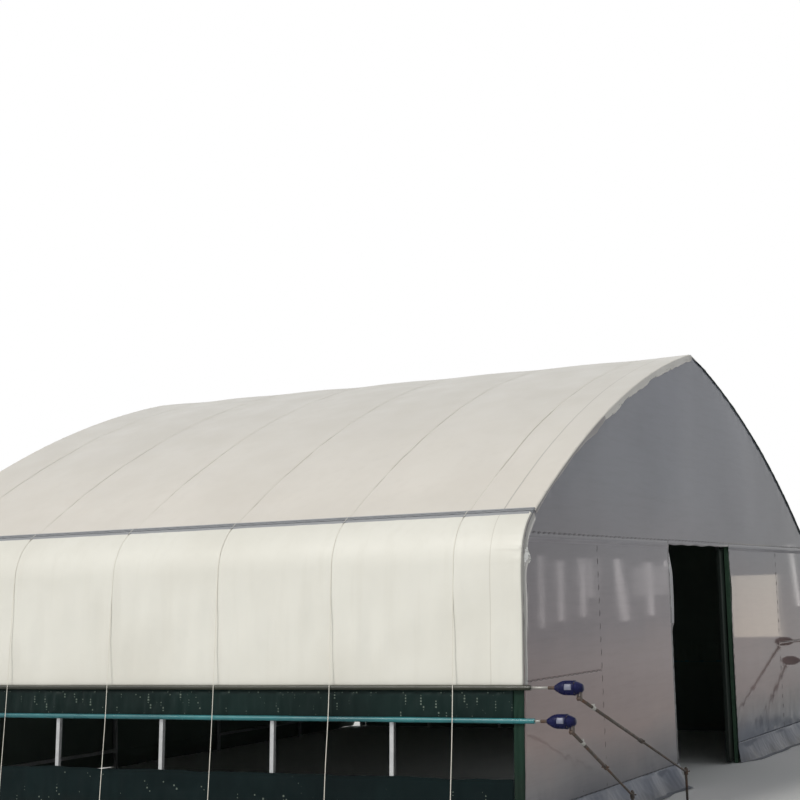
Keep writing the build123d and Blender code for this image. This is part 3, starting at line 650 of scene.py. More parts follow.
RED = moulded_material("band_red", (0.42, 0.02, 0.015), (0.25, 0.012, 0.01), 0.35)
BELT = webbing_material("belt_webbing", (0.84, 0.81, 0.73), (0.74, 0.71, 0.64))


# Near the eave a film climbs over the channel's edge and dips into its groove, at these gaps from the middle
CHANNEL_GAPS = (0.0140, 0.0155, 0.0190, 0.0200, 0.0212, 0.0225, 0.0260, 0.0300, 0.0312, 0.0325, 0.0350)
CHANNEL_ROWS = 7
CHANNEL_REACH = 0.0351
CHANNEL_OFFS = (0.0045, 0.0043, 0.0043, 0.0070, 0.0108, 0.0117, 0.0118, 0.0117, 0.0110, 0.0065)


def channel_off(gap, base):
    return np.interp(gap, CHANNEL_GAPS, (*CHANNEL_OFFS, base))


# Roof film, one sheet from eave channel to eave channel, its ends folded down over the gables

FOLD_COLUMNS = 9
FOLD_TURN = 0.009
FOLD_TOP = -0.0075
LOW_FOLD_X = -2.45
ROOF_PAST = 0.0048
CREASE_Y = FIRST_HOOP_Y + 0.22


def belt_places():
    return [FIRST_HOOP_Y + (i + 0.5) * BAY for i in range(BAYS)]


def end_columns():
    """Distances back from the gable's front and out from the hoop line, across a folded end."""
    fold = [(0.0, d) for d in np.linspace(-0.058, -0.008, FOLD_COLUMNS)]
    corner = []
    for turn in np.linspace(0, math.pi / 2, 5):
        back = FOLD_TURN - FOLD_TURN * math.cos(turn)
        corner.append((back, ROOF_OFF - FOLD_TURN + FOLD_TURN * math.sin(turn)))
    return fold + corner


def roof_off(s, y):
    """Stand-off of the roof film from the hoop line: sag between hoops, pressed-in belts and a fine fold."""
    level = np.full(len(s), y)
    bay = np.sin(math.pi * np.clip((y - FIRST_HOOP_Y) / BAY % 1.0, 0, 1)) ** 2
    slack = waves(5, 0.9, s, 0 * s, 6) * 0.2 + 1
    sag = -0.007 * bay * slack if FIRST_HOOP_Y < y < LAST_HOOP_Y else 0
    press = sum(math.exp(-(((y - b) / 0.022) ** 2)) for b in belt_places())
    soft = 0.0016 * waves(7, 0.5, s, level, 10, 2.0) * bay
    fold = 0.0011 * math.exp(-(((y - CREASE_Y) / 0.0045) ** 2))
    return ROOF_OFF + sag - 0.0009 * press + soft + fold


def roof_grid():
    edge = EAVE_S - np.array(CHANNEL_GAPS)[::-1]
    s = np.concatenate([-edge[::-1], lines(-edge[0] + 0.015, edge[0] - 0.015, 0.05), edge])
    ends = end_columns()
    front_y = FACE_Y - ROOF_PAST
    back_y = BACK_Y + ROOF_PAST
    dense = [(b, 0.045, 0.015) for b in belt_places()] + [(CREASE_Y, 0.012, 0.003)]
    middle = lines(front_y + 0.02, back_y - 0.02, 0.05, dense)
    near = np.array([0.0, 0.006, 0.014, 0.024, 0.038])
    middle = np.concatenate([front_y + 0.011 + near, middle[middle > front_y + 0.06]])
    middle = middle[middle < back_y - 0.06]
    middle = np.concatenate([middle, (back_y - 0.011 - near)[::-1]])
    columns = [(front_y + b, d, 1.0 - i / len(ends)) for i, (b, d) in enumerate(ends)]
    columns += [(y, ROOF_OFF, 0.0) for y in middle]
    columns += [(back_y - b, d, 1.0 - i / len(ends)) for i, (b, d) in reversed(list(enumerate(ends)))]
    wide = np.where(s < 0, 0.26 + 0.66 * ease((s + 3.55) / 0.9), 0.16)
    stands = ease((s - 0.05) / 0.35)
    grid = []
    for y, d, fold in columns:
        front = y < 0
        seed = 20 if front else 40
        reach = (y - front_y) if front else (back_y - y)
        way = -1 if front else 1
        off = np.full(len(s), d)
        place = np.full(len(s), y)
        if fold > 0 and d < FOLD_TOP:
            ragged = 0.16 * waves(seed, 0.7, s, 0 * s, 6) + 0.06 * waves(seed + 1, 0.2, s, 0 * s, 6)
            ragged = ragged * (1 - 0.9 * stands)
            down = (FOLD_TOP - d) * wide * (1 + ragged)
            down += np.where(d < -0.055, 0.004, 0) * (1 - stands)
            lift = 0.0012 + 0.0018 * np.abs(waves(seed + 2, 0.13, s + 3 * d, off, 8))
            lift += 0.0022 * creases(seed + 3, 0.22, s, off * 2, 2)
            off = FOLD_TOP - down * (1 - 0.80 * stands)
            place = place + way * (lift * ease(-d / 0.05) + down * stands * 0.95)
        elif fold == 0:
            off = roof_off(s, y)
            pucker = 0.0022 * waves(seed + 4, 0.085, s, np.full(len(s), reach), 6, 4.0)
            off = off + np.maximum(pucker, -0.0012) * math.exp(-reach / 0.05)
        gap = EAVE_S - np.abs(s)
        off = np.where(gap < 0.06, np.minimum(off, 0.004), off)
        off = np.where((gap < CHANNEL_REACH) & (fold == 0), channel_off(gap, ROOF_OFF), off)
        x, z = outline(s, off)[:2]
        grid.append(np.stack([x, place, z], -1))
    return np.stack(grid, 1)


def crease_faces(shape):
    """Columns of faces along the fine fold near the gable."""
    middle = (shape[len(shape) // 2, :-1, 1] + shape[len(shape) // 2, 1:, 1]) / 2
    return np.abs(middle - CREASE_Y) < 0.0052


roof_shape = roof_grid()
roof_marks = face_marks(roof_shape)
# marks 2 and 4: painted shade on the folds
roof_marks[:, :FOLD_COLUMNS] = 2
roof_marks[:, -FOLD_COLUMNS:] = 2
roof_marks[roof_shape[:-1, 0, 0] < LOW_FOLD_X, :FOLD_COLUMNS] = 4
# mark 3: painted shade over the eave channel
for eave_rows in (slice(0, CHANNEL_ROWS), slice(-CHANNEL_ROWS, None)):
    roof_marks[eave_rows, FOLD_COLUMNS + 2:-FOLD_COLUMNS - 2] = 3
# mark 5: painted shade along the fine fold
roof_marks[CHANNEL_ROWS:-CHANNEL_ROWS, crease_faces(roof_shape)] = 5
roof = film_piece(
    "roof_sheet", roof_shape,
    [ROOF_WHITE, FILM_INSIDE, FOLD_SHADED, CHANNEL_GROOVE_SHADE, FOLD_SHADE, ROOF_CREASE_SHADE], "white_film",
    ["roof_film_right", "roof_film_left", "roof_film_folds"], marks=roof_marks,
)


# Gable films

def groove(distance, depth=0.0034):
    """How far the film is pressed into a lock channel's mouth."""
    return depth * ease(1 - np.abs(distance) / 0.0095)


def gable_upper_grid(face, way, foot, seed):
    """Film above the door head, from its hem up to the hoop. way is -1 at the front and 1 at the back."""
    band_top = SEAM_Z + 0.05
    band_z = lines(foot, band_top, 0.02, [(SEAM_Z, 0.012, 0.003)])
    u = np.linspace(-1, 1, 241)
    wide = u * float(edge_x(band_top) - EDGE_IN)
    grid = []
    for z in band_z:
        x = u * float(edge_x(z) - EDGE_IN)
        grid.append(np.stack([x, 0 * x, 0 * x + z], -1))
    rise = np.maximum(top_z(wide) - EDGE_IN - band_top, 0.002)
    for v in np.concatenate([np.linspace(0.02, 0.9, 34), np.linspace(0.92, 1, 7)]):
        grid.append(np.stack([wide, 0 * wide, band_top + rise * v], -1))
    grid = np.array(grid)
    x, z = grid[:, :, 0], grid[:, :, 2]
    edge = np.maximum((top_z(x) - z) * 0.93, 0)
    calm = ease(edge / 0.25) * ease((z - SEAM_Z) / 0.25)
    out = 0.0030 * waves(seed, 2.6, x, z, 8) * calm
    out += 0.0004 * waves(seed + 1, 0.9, x, z, 8) * calm
    out += 0.0012 * waves(seed + 2, 0.12, x, z, 6, 3.0) * np.exp(-edge / 0.08)
    out += 0.0007 * np.sin(x * 2 * math.pi / 0.1) * np.exp(-np.abs(z - SEAM_Z) / 0.03)
    hem = ease((SEAM_Z - 0.012 - z) / 0.03) * ease((DOOR_HALF + 0.08 - np.abs(x)) / 0.06)
    out += hem * (0.002 + 0.0018 * waves(seed + 3, 0.35, x, z, 6))
    out -= groove(z - SEAM_Z, 0.0020)
    grid[:, :, 1] = face + way * (0.0008 + out)
    ragged = 0.004 * waves(seed + 4, 0.6, x[0], 0 * x[0], 6)
    grid[0, :, 2] += ragged
    return grid


def gable_lower_grid(side, seed):
    """Film from the jamb to the hoop on one side of the door, from the base channel to the seam."""
    dense = [(BASE_RAIL_Z, 0.012, 0.003), (CORNER_RAIL_Z, 0.012, 0.003), (2.064, 0.020, 0.004)]
    z = lines(0.172, SEAM_Z - 0.003, 0.036, dense)
    jamb = DOOR_HALF - 0.002
    close = [(POST_X, 0.012, 0.003), (DOOR_POST_X + 0.060, 0.045, 0.009), (DOOR_POST_X + 0.006, 0.010, 0.003)]
    x0 = lines(jamb + 0.012, POST_X + 0.02, 0.028, close)
    share = np.linspace(0, 1, 52)[1:]
    wrap = [(math.radians(a), 0.010) for a in (90, 60, 30, 0)]
    grid = []
    for height in z:
        right = float(edge_x(height) - EDGE_IN)
        stand = 0.0
        if side > 0:
            bulge = 0.003 + 0.048 * math.exp(-(((height - 1.68) / 0.20) ** 2))
        else:
            loose = float(ease((height - 1.34) / 0.05) * ease((2.04 - height) / 0.24))
            bulge = 0.004 - (0.030 + 0.018 * float(ease((height - 1.36) / 0.25))) * loose
            stand = -0.0085 * loose
        row = [(jamb + r - r * math.sin(turn) + bulge, r - r * math.cos(turn) + stand) for turn, r in wrap]
        for at in x0:
            near = at - jamb
            row.append((at + bulge * math.exp(-near / 0.25), stand * math.exp(-((near / 0.035) ** 2))))
        row += [(x0[-1] + (right - x0[-1]) * t, 0.0) for t in share]
        grid.append([(side * at, back, height) for at, back in row])
    grid = np.array(grid)
    x, back, z = side * grid[:, :, 0], grid[:, :, 1].copy(), grid[:, :, 2]
    calm = np.minimum(np.abs(x - POST_X), np.abs(x - DOOR_POST_X)) / 0.16
    calm = np.minimum(calm, (edge_x(z) - x) / 0.10)
    calm = np.minimum(calm, np.minimum(z - BASE_RAIL_Z, 2.09 - z) / 0.16)
    on_rail = np.where(x > POST_X, np.abs(z - CORNER_RAIL_Z) / 0.12, 1)
    calm = ease(np.minimum(calm, on_rail))
    drift = 0.04 * waves(seed, 1.6, z, 0 * z, 5)
    high = ease((z - 0.9) / 0.9)
    out = 0.00006 * np.sin((x + drift) * 2 * math.pi / 0.52 + seed) * (0.3 + 0.7 * high) * calm
    out += 0.00022 * waves(seed + 1, 2.2, x, z, 8) * calm
    low = np.exp(-np.maximum(z - BASE_RAIL_Z, 0) / 0.16)
    out += 0.0030 * waves(seed + 3, 0.22, x, z, 8, 2.2) * low * ease((z - BASE_RAIL_Z - 0.012) / 0.03)
    rim = np.exp(-np.maximum(edge_x(z) - x, 0) / 0.06)
    out += 0.0016 * waves(seed + 4, 0.11, z, x, 6, 3.0) * rim
    out -= groove(z - BASE_RAIL_Z) + groove(x - POST_X, 0.0007) * (z < SEAM_Z - 0.02)
    out -= groove(x - DOOR_POST_X - 0.006, 0.0007) * (back < 1e-6)
    out -= np.where(x > POST_X + 0.012, groove(z - CORNER_RAIL_Z), 0)
    over = 0.0028 * ease((z - 2.052) / 0.024) - groove(z - SEAM_Z, 0.0024)
    grid[:, :, 1] = FACE_Y + 0.0002 + back - (out + over) * (back < 0.006)
    return grid


upper = film_piece(
    "gable_sheet_upper", gable_upper_grid(FACE_Y, -1, DOOR_HEAD_Z, 60), [GABLE_PAINTED_SHADE, FILM_INSIDE],
    "white_film", ["front_upper_film"], flip=True,
)
for side, word in SIDES:
    shape = gable_lower_grid(side, 80 + side)
    reveal = face_marks(shape)
    reveal[:, :3] = side > 0
    level = shape[:-1, 4, 2]
    # mark 4: the hem, in the gable's bands of painted shade and reflection
    reveal[(level > 2.047) & (level < 2.078), 3:] = 4
    post_at = side * shape[:-1, :-1, 0] - DOOR_POST_X
    # mark 2: painted highlight by the jamb
    if side < 0:
        lit = (level > 1.37) & (level < 1.99)
        reveal[lit[:, None] & (post_at < -0.006)] = 2
        # mark 3: painted shade along the door post's groove
        reveal[(post_at > -0.006) & (post_at < 0.032)] = 3
    else:
        lit = (level > 1.18) & (level < 1.92) & (waves(75, 0.16, level, 0 * level, 6) > -0.5)
        reveal[lit, 3:5] = 2
    lower = film_piece(
        f"gable_sheet_{word}", shape, [GABLE_PAINTED_SHADE, JAMB_GREEN, EDGE_HIGHLIGHT, POST_GROOVE_SHADE, GABLE_DULL],
        "white_film", [f"front_{word}_film", f"front_corner_film_{word}"], flip=side > 0, marks=reveal,
    )


def back_grid():
    """Film of the back gable in one piece, from just over the ground to the hoop."""
    grid = gable_upper_grid(BACK_Y, 1, 0.180, 160)
    x, z = grid[:, :, 0], grid[:, :, 2]
    calm = ease(np.minimum(np.abs(np.abs(x) - POST_X) / 0.16, (SEAM_Z - z) / 0.2))
    calm *= ease(np.minimum(edge_x(np.minimum(z, 2.1)) - np.abs(x), z - 0.18) / 0.12)
    drape = np.sin(x * 2 * math.pi / 0.55) + 0.6 * np.sin(x * 2 * math.pi / 0.37 + 1)
    grid[:, :, 1] += 0.003 * drape * calm - groove(np.abs(x) - POST_X) * (z < SEAM_Z - 0.02)
    return grid


back = film_piece("gable_sheet_back", back_grid(), [GABLE_BACK, FILM_INSIDE], "white_film", ["back_film"])


# Side films from the eave channel to the upper roll, and the green curtains behind them

CORNER_TURN = 0.026
CORNER_COLUMNS = 13
BUNCH_Z = 1.95
SIDE_PAST = 0.0034


def side_film_grid(side, seed):
    """Rows down from the eave, columns along the house; both ends turn round on to the gables."""
    low = s_at_z(UPPER_ROLL_Z - 0.004)
    edge = EAVE_S + np.array(CHANNEL_GAPS)
    close = [(RAFTER_L + KNEE_L / 2, 0.14, 0.012), (s_at_z(BUNCH_Z), 0.09, 0.009)]
    s = np.concatenate([edge, lines(edge[-1] + 0.012, low, 0.034, close)])
    gathered = np.exp(-(((s - s_at_z(BUNCH_Z)) / 0.060) ** 2))
    turns = np.linspace(0, math.pi / 2, 8)
    ends = [(0.0, d) for d in np.linspace(-0.070, -CORNER_TURN, 8)]
    ends += [
        (CORNER_TURN * (1 - math.cos(t)), SIDE_OFF - CORNER_TURN * (1 - math.sin(t))) for t in turns
    ]
    front_y = FACE_Y - SIDE_PAST
    back_y = BACK_Y + SIDE_PAST
    near = np.array([0.008, 0.018, 0.03, 0.045, 0.062])
    belts = belt_places()
    dense = [(b, 0.05, 0.02) for b in belts] + [(CREASE_Y, 0.012, 0.004)]
    middle = lines(front_y + 0.02, back_y - 0.02, 0.05, dense)
    middle = middle[(middle > front_y + CORNER_TURN + 0.07) & (middle < back_y - CORNER_TURN - 0.07)]
    middle = np.concatenate([front_y + CORNER_TURN + near, middle, (back_y - CORNER_TURN - near)[::-1]])
    columns = [(front_y + b, d) for b, d in ends] + [(y, SIDE_OFF) for y in middle]
    columns += [(back_y - b, d) for b, d in ends[::-1]]
    down = np.clip((s - RAFTER_L - KNEE_L) / (low - RAFTER_L - KNEE_L), 0, 1)
    knee = np.exp(-(((s - RAFTER_L - KNEE_L * 0.75) / 0.13) ** 2))
    swell = np.exp(-(((s - s_at_z(1.80)) / 0.17) ** 2))
    grid = []
    for y, d in columns:
        front = y < 0
        reach = (y - front_y) if front else (back_y - y)
        way = -1 if front else 1
        place = np.full(len(s), y)
        off = np.full(len(s), d)
        bunch = 0.0035 * waves(seed + 1, 0.075, s, np.full(len(s), reach), 8, 5.0)
        if d < SIDE_OFF:
            narrow = 0.80 + 0.20 * ease((0.75 - down) / 0.3)
            ragged = waves(seed + front, 0.5, s, 0 * s, 6) * 0.06
            if d < -CORNER_TURN:
                off = off * (narrow - ragged) * (1 + 1.1 * gathered)
            lift = 0.0003 + 0.0016 * np.exp(-(((d + 0.040) / 0.008) ** 2))
            lift += 0.0060 * knee * creases(seed + 7, 0.11, s, off * 2.2, 3) * ease(-(d + 0.004) / 0.02)
            lift = lift + 0.0045 * gathered * creases(seed + 11, 0.05, s, off, 2)
            place = place + way * (lift - 0.0016 * ease(-(d + 0.05) / 0.02))
        else:
            fold = 0.0022 * math.sin(y * 2 * math.pi / 0.43 + seed)
            fold += 0.0016 * math.sin(y * 2 * math.pi / 0.27)
            soft = 0.0030 * waves(seed + 2, 0.7, s, np.full(len(s), y), 10, 0.35)
            press = sum(math.exp(-(((y - b) / 0.03) ** 2)) for b in belts)
            bay = math.sin(math.pi * min(max((y - FIRST_HOOP_Y) % BAY, 0), 1)) ** 2
            out = (fold + soft) * np.sin(math.pi * np.clip(down * 0.9 + 0.05, 0, 1)) * ease(reach / 0.15)
            out += 0.004 * bay * np.sin(math.pi * down) - 0.0022 * press * (1 - ease(down * 5))
            off = off + np.maximum(out, -0.0028)
            off += np.maximum(bunch, -0.001) * knee * math.exp(-reach / 0.09)
            ripple = np.maximum(waves(seed + 8, 0.06, np.full(len(s), y), s, 8, 4.0), -1)
            off += 0.0012 * ripple * ease((down - 0.9) / 0.1)
        off = off + 0.010 * swell * math.exp(-max(reach - CORNER_TURN, 0) / 0.22)
        if d < SIDE_OFF:
            dent = creases(seed + 9, 0.09, s, np.full(len(s), 3 * d), 2) - 0.45
            off = off + 0.006 * dent * knee * ease(-(d - SIDE_OFF) / 0.012)
        gap = s - EAVE_S
        off = np.where((gap < CHANNEL_REACH) & (d == SIDE_OFF), channel_off(gap, SIDE_OFF), off)
        x, z = outline(s, off)[:2]
        grid.append(np.stack([side * x, place, z], -1))
    return np.stack(grid, 1)


def curtain_grid(side, seed):
    s = lines(EAVE_S + EAVE_GAP, s_at_z(LOWER_ROLL_Z - 0.004), 0.12, [(s_at_z(0.93), 0.13, 0.02)])
    y = lines(FACE_Y + 0.081, BACK_Y - 0.081, 0.02)
    grid = []
    for place in s:
        z_mid = float(outline(place, 0)[1])
        free = ease((1.05 - z_mid) / 0.06) * (0.35 + 0.65 * ease((z_mid - 0.80) / 0.1))
        fold = 0.5 + 0.5 * np.sin(y * 2 * math.pi / 0.16 + 1.2 * waves(seed, 0.9, y, 0 * y, 6))
        fold = 0.55 * fold**2 + 0.45 * np.abs(waves(seed + 1, 0.10, y, 0 * y + place * 0.2, 8))
        x, z = outline(np.full(len(y), place), 0.0026 + 0.013 * fold * free)[:2]
        grid.append(np.stack([side * x, y, z], -1))
    return np.array(grid)


LAP_IN = 0.0005


def lap_grid(side, front, seed):
    """Narrow strip of green film down the end hoop, from the eave to the ground."""
    y0, y1 = (FACE_Y + LAP_IN, FACE_Y + LAP_W) if front else (BACK_Y - LAP_W, BACK_Y - LAP_IN)
    s = lines(EAVE_S + EAVE_GAP, s_at_z(0.002), 0.10, [(s_at_z(0.6), 0.58, 0.022)])
    y = np.linspace(y0, y1, 15)
    t = (y - y0) / (y1 - y0)
    grid = []
    for place in s:
        z_mid = float(outline(place, 0)[1])
        free = ease((1.0 - z_mid) / 0.12)
        rope = 0.6 + 0.4 * np.sin(t * 2 * math.pi * 1.7 + 0.9 * waves(seed, 0.5, 0 * t + place, 0 * t, 5))
        loose = 0.009 * rope * np.sin(math.pi * t) + 0.0012 * waves(seed + 1, 0.05, y, 0 * y + place, 8, 4.0)
        out = 0.0026 + loose * free
        shift = 0.006 * waves(seed + 2, 0.6, place, 0.0, 5) * free * (1 if front else -1)
        out = np.maximum(out, 0.0018)
        if z_mid > UPPER_ROLL_Z - 0.02:
            deep = np.clip(((y - y0) if front else (y1 - y)) + 0.0039, 0, CORNER_TURN)
            turn = np.arccos(1 - deep / CORNER_TURN)
            out = np.minimum(out, 0.0030 - CORNER_TURN * (1 - np.sin(turn)))
        x, z = outline(np.full(len(y), place), out)[:2]
        swung = np.clip(y + shift * np.sin(math.pi * t), FACE_Y + LAP_IN, BACK_Y - LAP_IN)
        grid.append(np.stack([side * x, swung, z], -1))
    return np.array(grid)


SKIRT_FOOT_Z = 0.0013


def base_skirt_grid(side, seed):
    y = lines(FACE_Y + 0.0815, BACK_Y - 0.0815, 0.025)
    free = 1.0 if side < 0 else 0.0
    top = BASE_SKIRT_Z if side < 0 else FAR_SKIRT_Z + 0.010
    hem = [top, top - 0.004, top - 0.012]
    foot = [*np.linspace(0.06, 0.0016, 5), SKIRT_FOOT_Z, SKIRT_FOOT_Z]
    rows = np.concatenate([hem, lines(top - 0.03, 0.08, 0.025), foot])
    grid = []
    for i, z in enumerate(rows):
        high = z / top
        sag = free * 0.010 * np.sin(math.pi * ((y - FIRST_HOOP_Y) % BAY)) ** 2 * ease((high - 0.6) / 0.4)
        sag += free * 0.003 * waves(seed, 0.3, y, 0 * y, 6) * ease((high - 0.6) / 0.4)
        out = 0.003 + 0.006 * np.abs(waves(seed + 1, 0.17, y, 0 * y + z, 8, 3.0)) * (1 - high * 0.6)
        out += 0.004 * creases(seed + 2, 0.2, y, 0 * y + z, 3) * ease(1 - high)
        out = np.minimum(out + 0.003 * ease((high - 0.985) / 0.015), 0.012 * free + 0.003)
        out = out * (1 - 0.9 * ease((z - 0.7) / 0.1)) + 0.012 * max(i - len(rows) + 3, 0)
        x, height = outline(s_at_z(np.maximum(z - sag, SKIRT_FOOT_Z)), out)[:2]
        grid.append(np.stack([side * x, y, height], -1))
    return np.array(grid)


for side, word in SIDES:
    shape = side_film_grid(side, 200 + 20 * side)
    corners = face_marks(shape)
    # mark 2: painted shade on the corner columns
    corners[:, :CORNER_COLUMNS] = 2
    corners[:, -CORNER_COLUMNS:] = 2
    # mark 4: painted highlight on the crinkled bunch
    gather_z = shape[:-1, 0, 2] - BUNCH_Z
    for k in range(8):
        spine = 0.040 - 0.085 * abs(k - 3.0) / 5.0
        ragged = 0.010 * waves(270, 0.04, gather_z, 0 * gather_z + k * 0.01, 6)
        corners[np.abs(gather_z - spine) < 0.036 + ragged, k] = 4
    # mark 3: painted shade over the eave channel
    corners[:CHANNEL_ROWS + 4, CORNER_COLUMNS + 2:-CORNER_COLUMNS - 2] = 3
    # mark 5: painted shade along the fine fold
    corners[CHANNEL_ROWS + 4:, crease_faces(shape)] = 5
    film = film_piece(
        f"side_sheet_{word}", shape,
        [SIDE_WHITE, FILM_INSIDE, CORNER_SHADED, CHANNEL_GROOVE_SHADE, BUNCH_HIGHLIGHT, SIDE_CREASE_SHADE], "white_film",
        [f"side_film_{word}"], flip=side < 0, marks=corners,
    )
    curtain = film_piece(
        f"curtain_{word}", curtain_grid(side, 240 + side), [FILM_GREEN, FILM_INSIDE], "green_film",
        [f"inner_curtain_{word}"], flip=side < 0,
    )
    for front, end in ((True, "front"), (False, "back")):
        lap = film_piece(
            f"corner_lap_{end}_{word}", lap_grid(side, front, 260 + side), [GREEN_EDGE, FILM_INSIDE],
            "green_film", ["corner_laps"], flip=side < 0,
        )
    skirt = film_piece(
        f"base_skirt_{word}", base_skirt_grid(side, 280 + side), [SKIRT_GREEN, FILM_INSIDE], "green_film",
        ["base_skirts"], flip=side < 0,
    )


# Crumpled skirts that leave the base channel and lie on the ground

def ground_skirt_grid(x0, x1, face, way, seed):
    x = lines(x0, x1, 0.018)
    run = np.linspace(0, 1, 26)
    grid = []
    for t in run:
        if t < 0.7:
            share = t / 0.7
            reach = 0.0018 + 0.090 * share**1.2
            height = 0.190 * (1 - share) + 0.005 * share
        else:
            share = (t - 0.7) / 0.3
            reach = 0.0918 + 0.055 * share
            height = 0.005
        away = ease(t / 0.12)
        billow = 0.012 * waves(seed, 0.62, x, 0 * x + t * 0.2, 10, 1.2)
        crumple = 0.0055 * creases(seed + 2, 0.17, x, 0 * x + t * 0.14, 3, 1.3)
        reach = reach + (billow * 0.8 + crumple * 0.7 - 0.004) * away
        lying = 1 - 0.55 * ease((t - 0.75) / 0.25)
        height = height + (0.007 * billow / 0.014 + crumple - 0.004) * away * lying
        height = np.maximum(height, 0.0022 + 0.0010 * np.abs(waves(seed + 5, 0.12, x, 0 * x + t, 6)))
        if way < 0:
            near_door = (x - x0) if x0 > 0 else (x1 - x)
            drawn = 0.20 + 0.80 * ease(near_door / 0.40) if x0 > 0 else 0.55 + 0.45 * ease(near_door / 0.14)
            reach = reach * drawn
        reach = np.maximum(reach, 0.0014)
        grid.append(np.stack([x, face + way * np.minimum(reach, 0.170), height], -1))
    return np.array(grid)


SKIRT_END = leg_x(BASE_RAIL_Z, 0) - 0.002
for name, x0, x1, face, way in (
    ("ground_skirt_front_right", DOOR_HALF + 0.004, SKIRT_END, FACE_Y, -1),
    ("ground_skirt_front_left", -SKIRT_END, -DOOR_HALF - 0.004, FACE_Y, -1),
    ("ground_skirt_back", -SKIRT_END, SKIRT_END, BACK_Y, 1),
):
    skirt = film_piece(
        name, ground_skirt_grid(x0, x1, face, way, 300 + int(10 * x1)), [SKIRT_SHADED, FILM_INSIDE],
        "white_film", ["ground_skirts"], flip=way > 0,
    )


# Wires that hold the film in the lock channels, bent in a zigzag

WIRE_R = 0.0016


def zigzag(length, high=0.0052, pitch=0.1):
    """Offsets along and across a channel."""
    along = np.linspace(0, length, int(length / pitch * 12) + 1)
    across = high * np.clip(1.5 * np.sin(along * 2 * math.pi / pitch), -1, 1)
    return along, across


def wire_reach(along):
    """The wire dips under the film once in each bend, so that it shows as dashes."""
    return 0.0002 + 0.0026 * np.sin(along * 2 * math.pi / 0.1 + 0.8)


def wires(name, face, way, seams, uprights):
    build = Build()
    for x0, x1, z in seams:
        along, across = zigzag(x1 - x0)
        path = np.stack([x0 + along, face + way * wire_reach(along), z + across], -1)
        build.add(*tube(path, WIRE_R, 6))
    for x, z0, z1 in uprights:
        along, across = zigzag(z1 - z0)
        path = np.stack([x + across, face + way * (wire_reach(along) - 0.0014), z0 + along], -1)
        build.add(*tube(path, WIRE_R * 0.8, 6), mark=1)
    return build.piece(name, [WIRE, WIRE_FAINT], slot="galvanised_steel")


WIRE_IN = 0.034
seam_x = float(edge_x(SEAM_Z)) - WIRE_IN
rail_x = float(edge_x(CORNER_RAIL_Z)) - WIRE_IN
base_x = float(edge_x(BASE_RAIL_Z)) - WIRE_IN
upright_z = (0.205, 2.10)
level = [(-seam_x, seam_x, SEAM_Z)]
stands = []
for side in (-1, 1):
    for x0, x1, z in ((POST_X + 0.014, rail_x, CORNER_RAIL_Z), (DOOR_POST_X, base_x, BASE_RAIL_Z)):
        level.append((min(side * x0, side * x1), max(side * x0, side * x1), z))
    stands += [(side * POST_X, *upright_z), (side * (DOOR_POST_X + 0.006), *upright_z)]
wires("front_wires", FACE_Y, -1, level, stands)
wires("back_wires", BACK_Y, 1, level[:1], [(x, *upright_z) for x in (-POST_X, POST_X)])


def eave_wires(side, word):
    build = Build()
    for groove_at in (-0.015, 0.015):
        along, across = zigzag(BACK_Y - FACE_Y - 0.02, 0.0045)
        x, z, _, _ = outline(EAVE_S + groove_at + across, 0.0078)
        path = np.stack([side * x, FACE_Y + 0.01 + along, z], -1)
        build.add(*tube(path, WIRE_R, 6))
    return build.piece(f"eave_wires_{word}", [EAVE_WIRE], slot="galvanised_steel")


for side, word in SIDES:
    eave_wires(side, word)


# Rolls: film wound on a tube, and the shaft that leads to the drive

ROLL_SIDES = 28
DRIVE_L = 0.208
DRIVE_R = 0.049
FORK_FROM_END = 0.032
PIN_DROP = 0.0215
FORWARD = (0, -1, 0)
BACKWARD = (0, 1, 0)
UP = (0, 0, 1)

# Each roll's height and stand-off, its reach and its drive's reach before the gable, and where its arm stands
ROLLS = (
    SimpleNamespace(
        level="upper", z=UPPER_ROLL_Z, off=0.0259, stub=0.060, drive_y=0.236, foot=(2.06, 0.25),
        clamp_at=0.11, film=OLIVE_ROLL, slot="olive_roll", seed=400,
    ),
    SimpleNamespace(
        level="lower", z=LOWER_ROLL_Z, off=0.0226, stub=0.085, drive_y=0.176, foot=(3.18, 0.20),
        clamp_at=0.16, film=TEAL_ROLL, slot="teal_roll", seed=410,
    ),
)
for roll in ROLLS:
    roll.x = leg_x(roll.z, roll.off)
    roll.fork_y = FACE_Y - roll.drive_y - DRIVE_L + FORK_FROM_END
    roll.pin_z = roll.z - DRIVE_R - PIN_DROP


def wound_roll(side, word, roll):
    y = lines(FACE_Y - roll.stub, BACK_Y + 0.1, 0.035)
    turns = np.arange(ROLL_SIDES) * 2 * math.pi / ROLL_SIDES
    grid_y, grid_t = np.meshgrid(y, turns, indexing="ij")
    wrinkle = 0.0007 * creases(roll.seed, 0.16, grid_y, grid_t * 0.02, 3, 0.35)
    wrinkle += 0.0003 * waves(roll.seed + 1, 0.9, grid_y, grid_t * 0.1, 8)
    lap = (grid_t - 1.1 - 0.5 * waves(roll.seed + 2, 3.0, grid_y, 0 * grid_t, 5)) % (2 * math.pi)
    radius = ROLL_R - 0.0012 + wrinkle + 0.0010 * np.clip(1 - lap / 0.5, 0, 1)
    x, z = side * roll.x, roll.z
    points = np.stack([x + radius * np.cos(grid_t), grid_y, z + radius * np.sin(grid_t)], -1).reshape(-1, 3)
    build = Build()
    build.add(points, [face[:1] + face[:0:-1] for face in skin(len(y), ROLL_SIDES)])
    for end, order in ((0, 1), (len(y) - 1, -1)):
        ring = points[end * ROLL_SIDES:(end + 1) * ROLL_SIDES]
        build.add(ring, [tuple(range(ROLL_SIDES))[::order]], 0, True)
    name = f"{roll.level}_roll_film_{word}"
    return build.piece(name, [roll.film], slot=roll.slot, replaces=[f"{roll.level}_roll_{word}"])


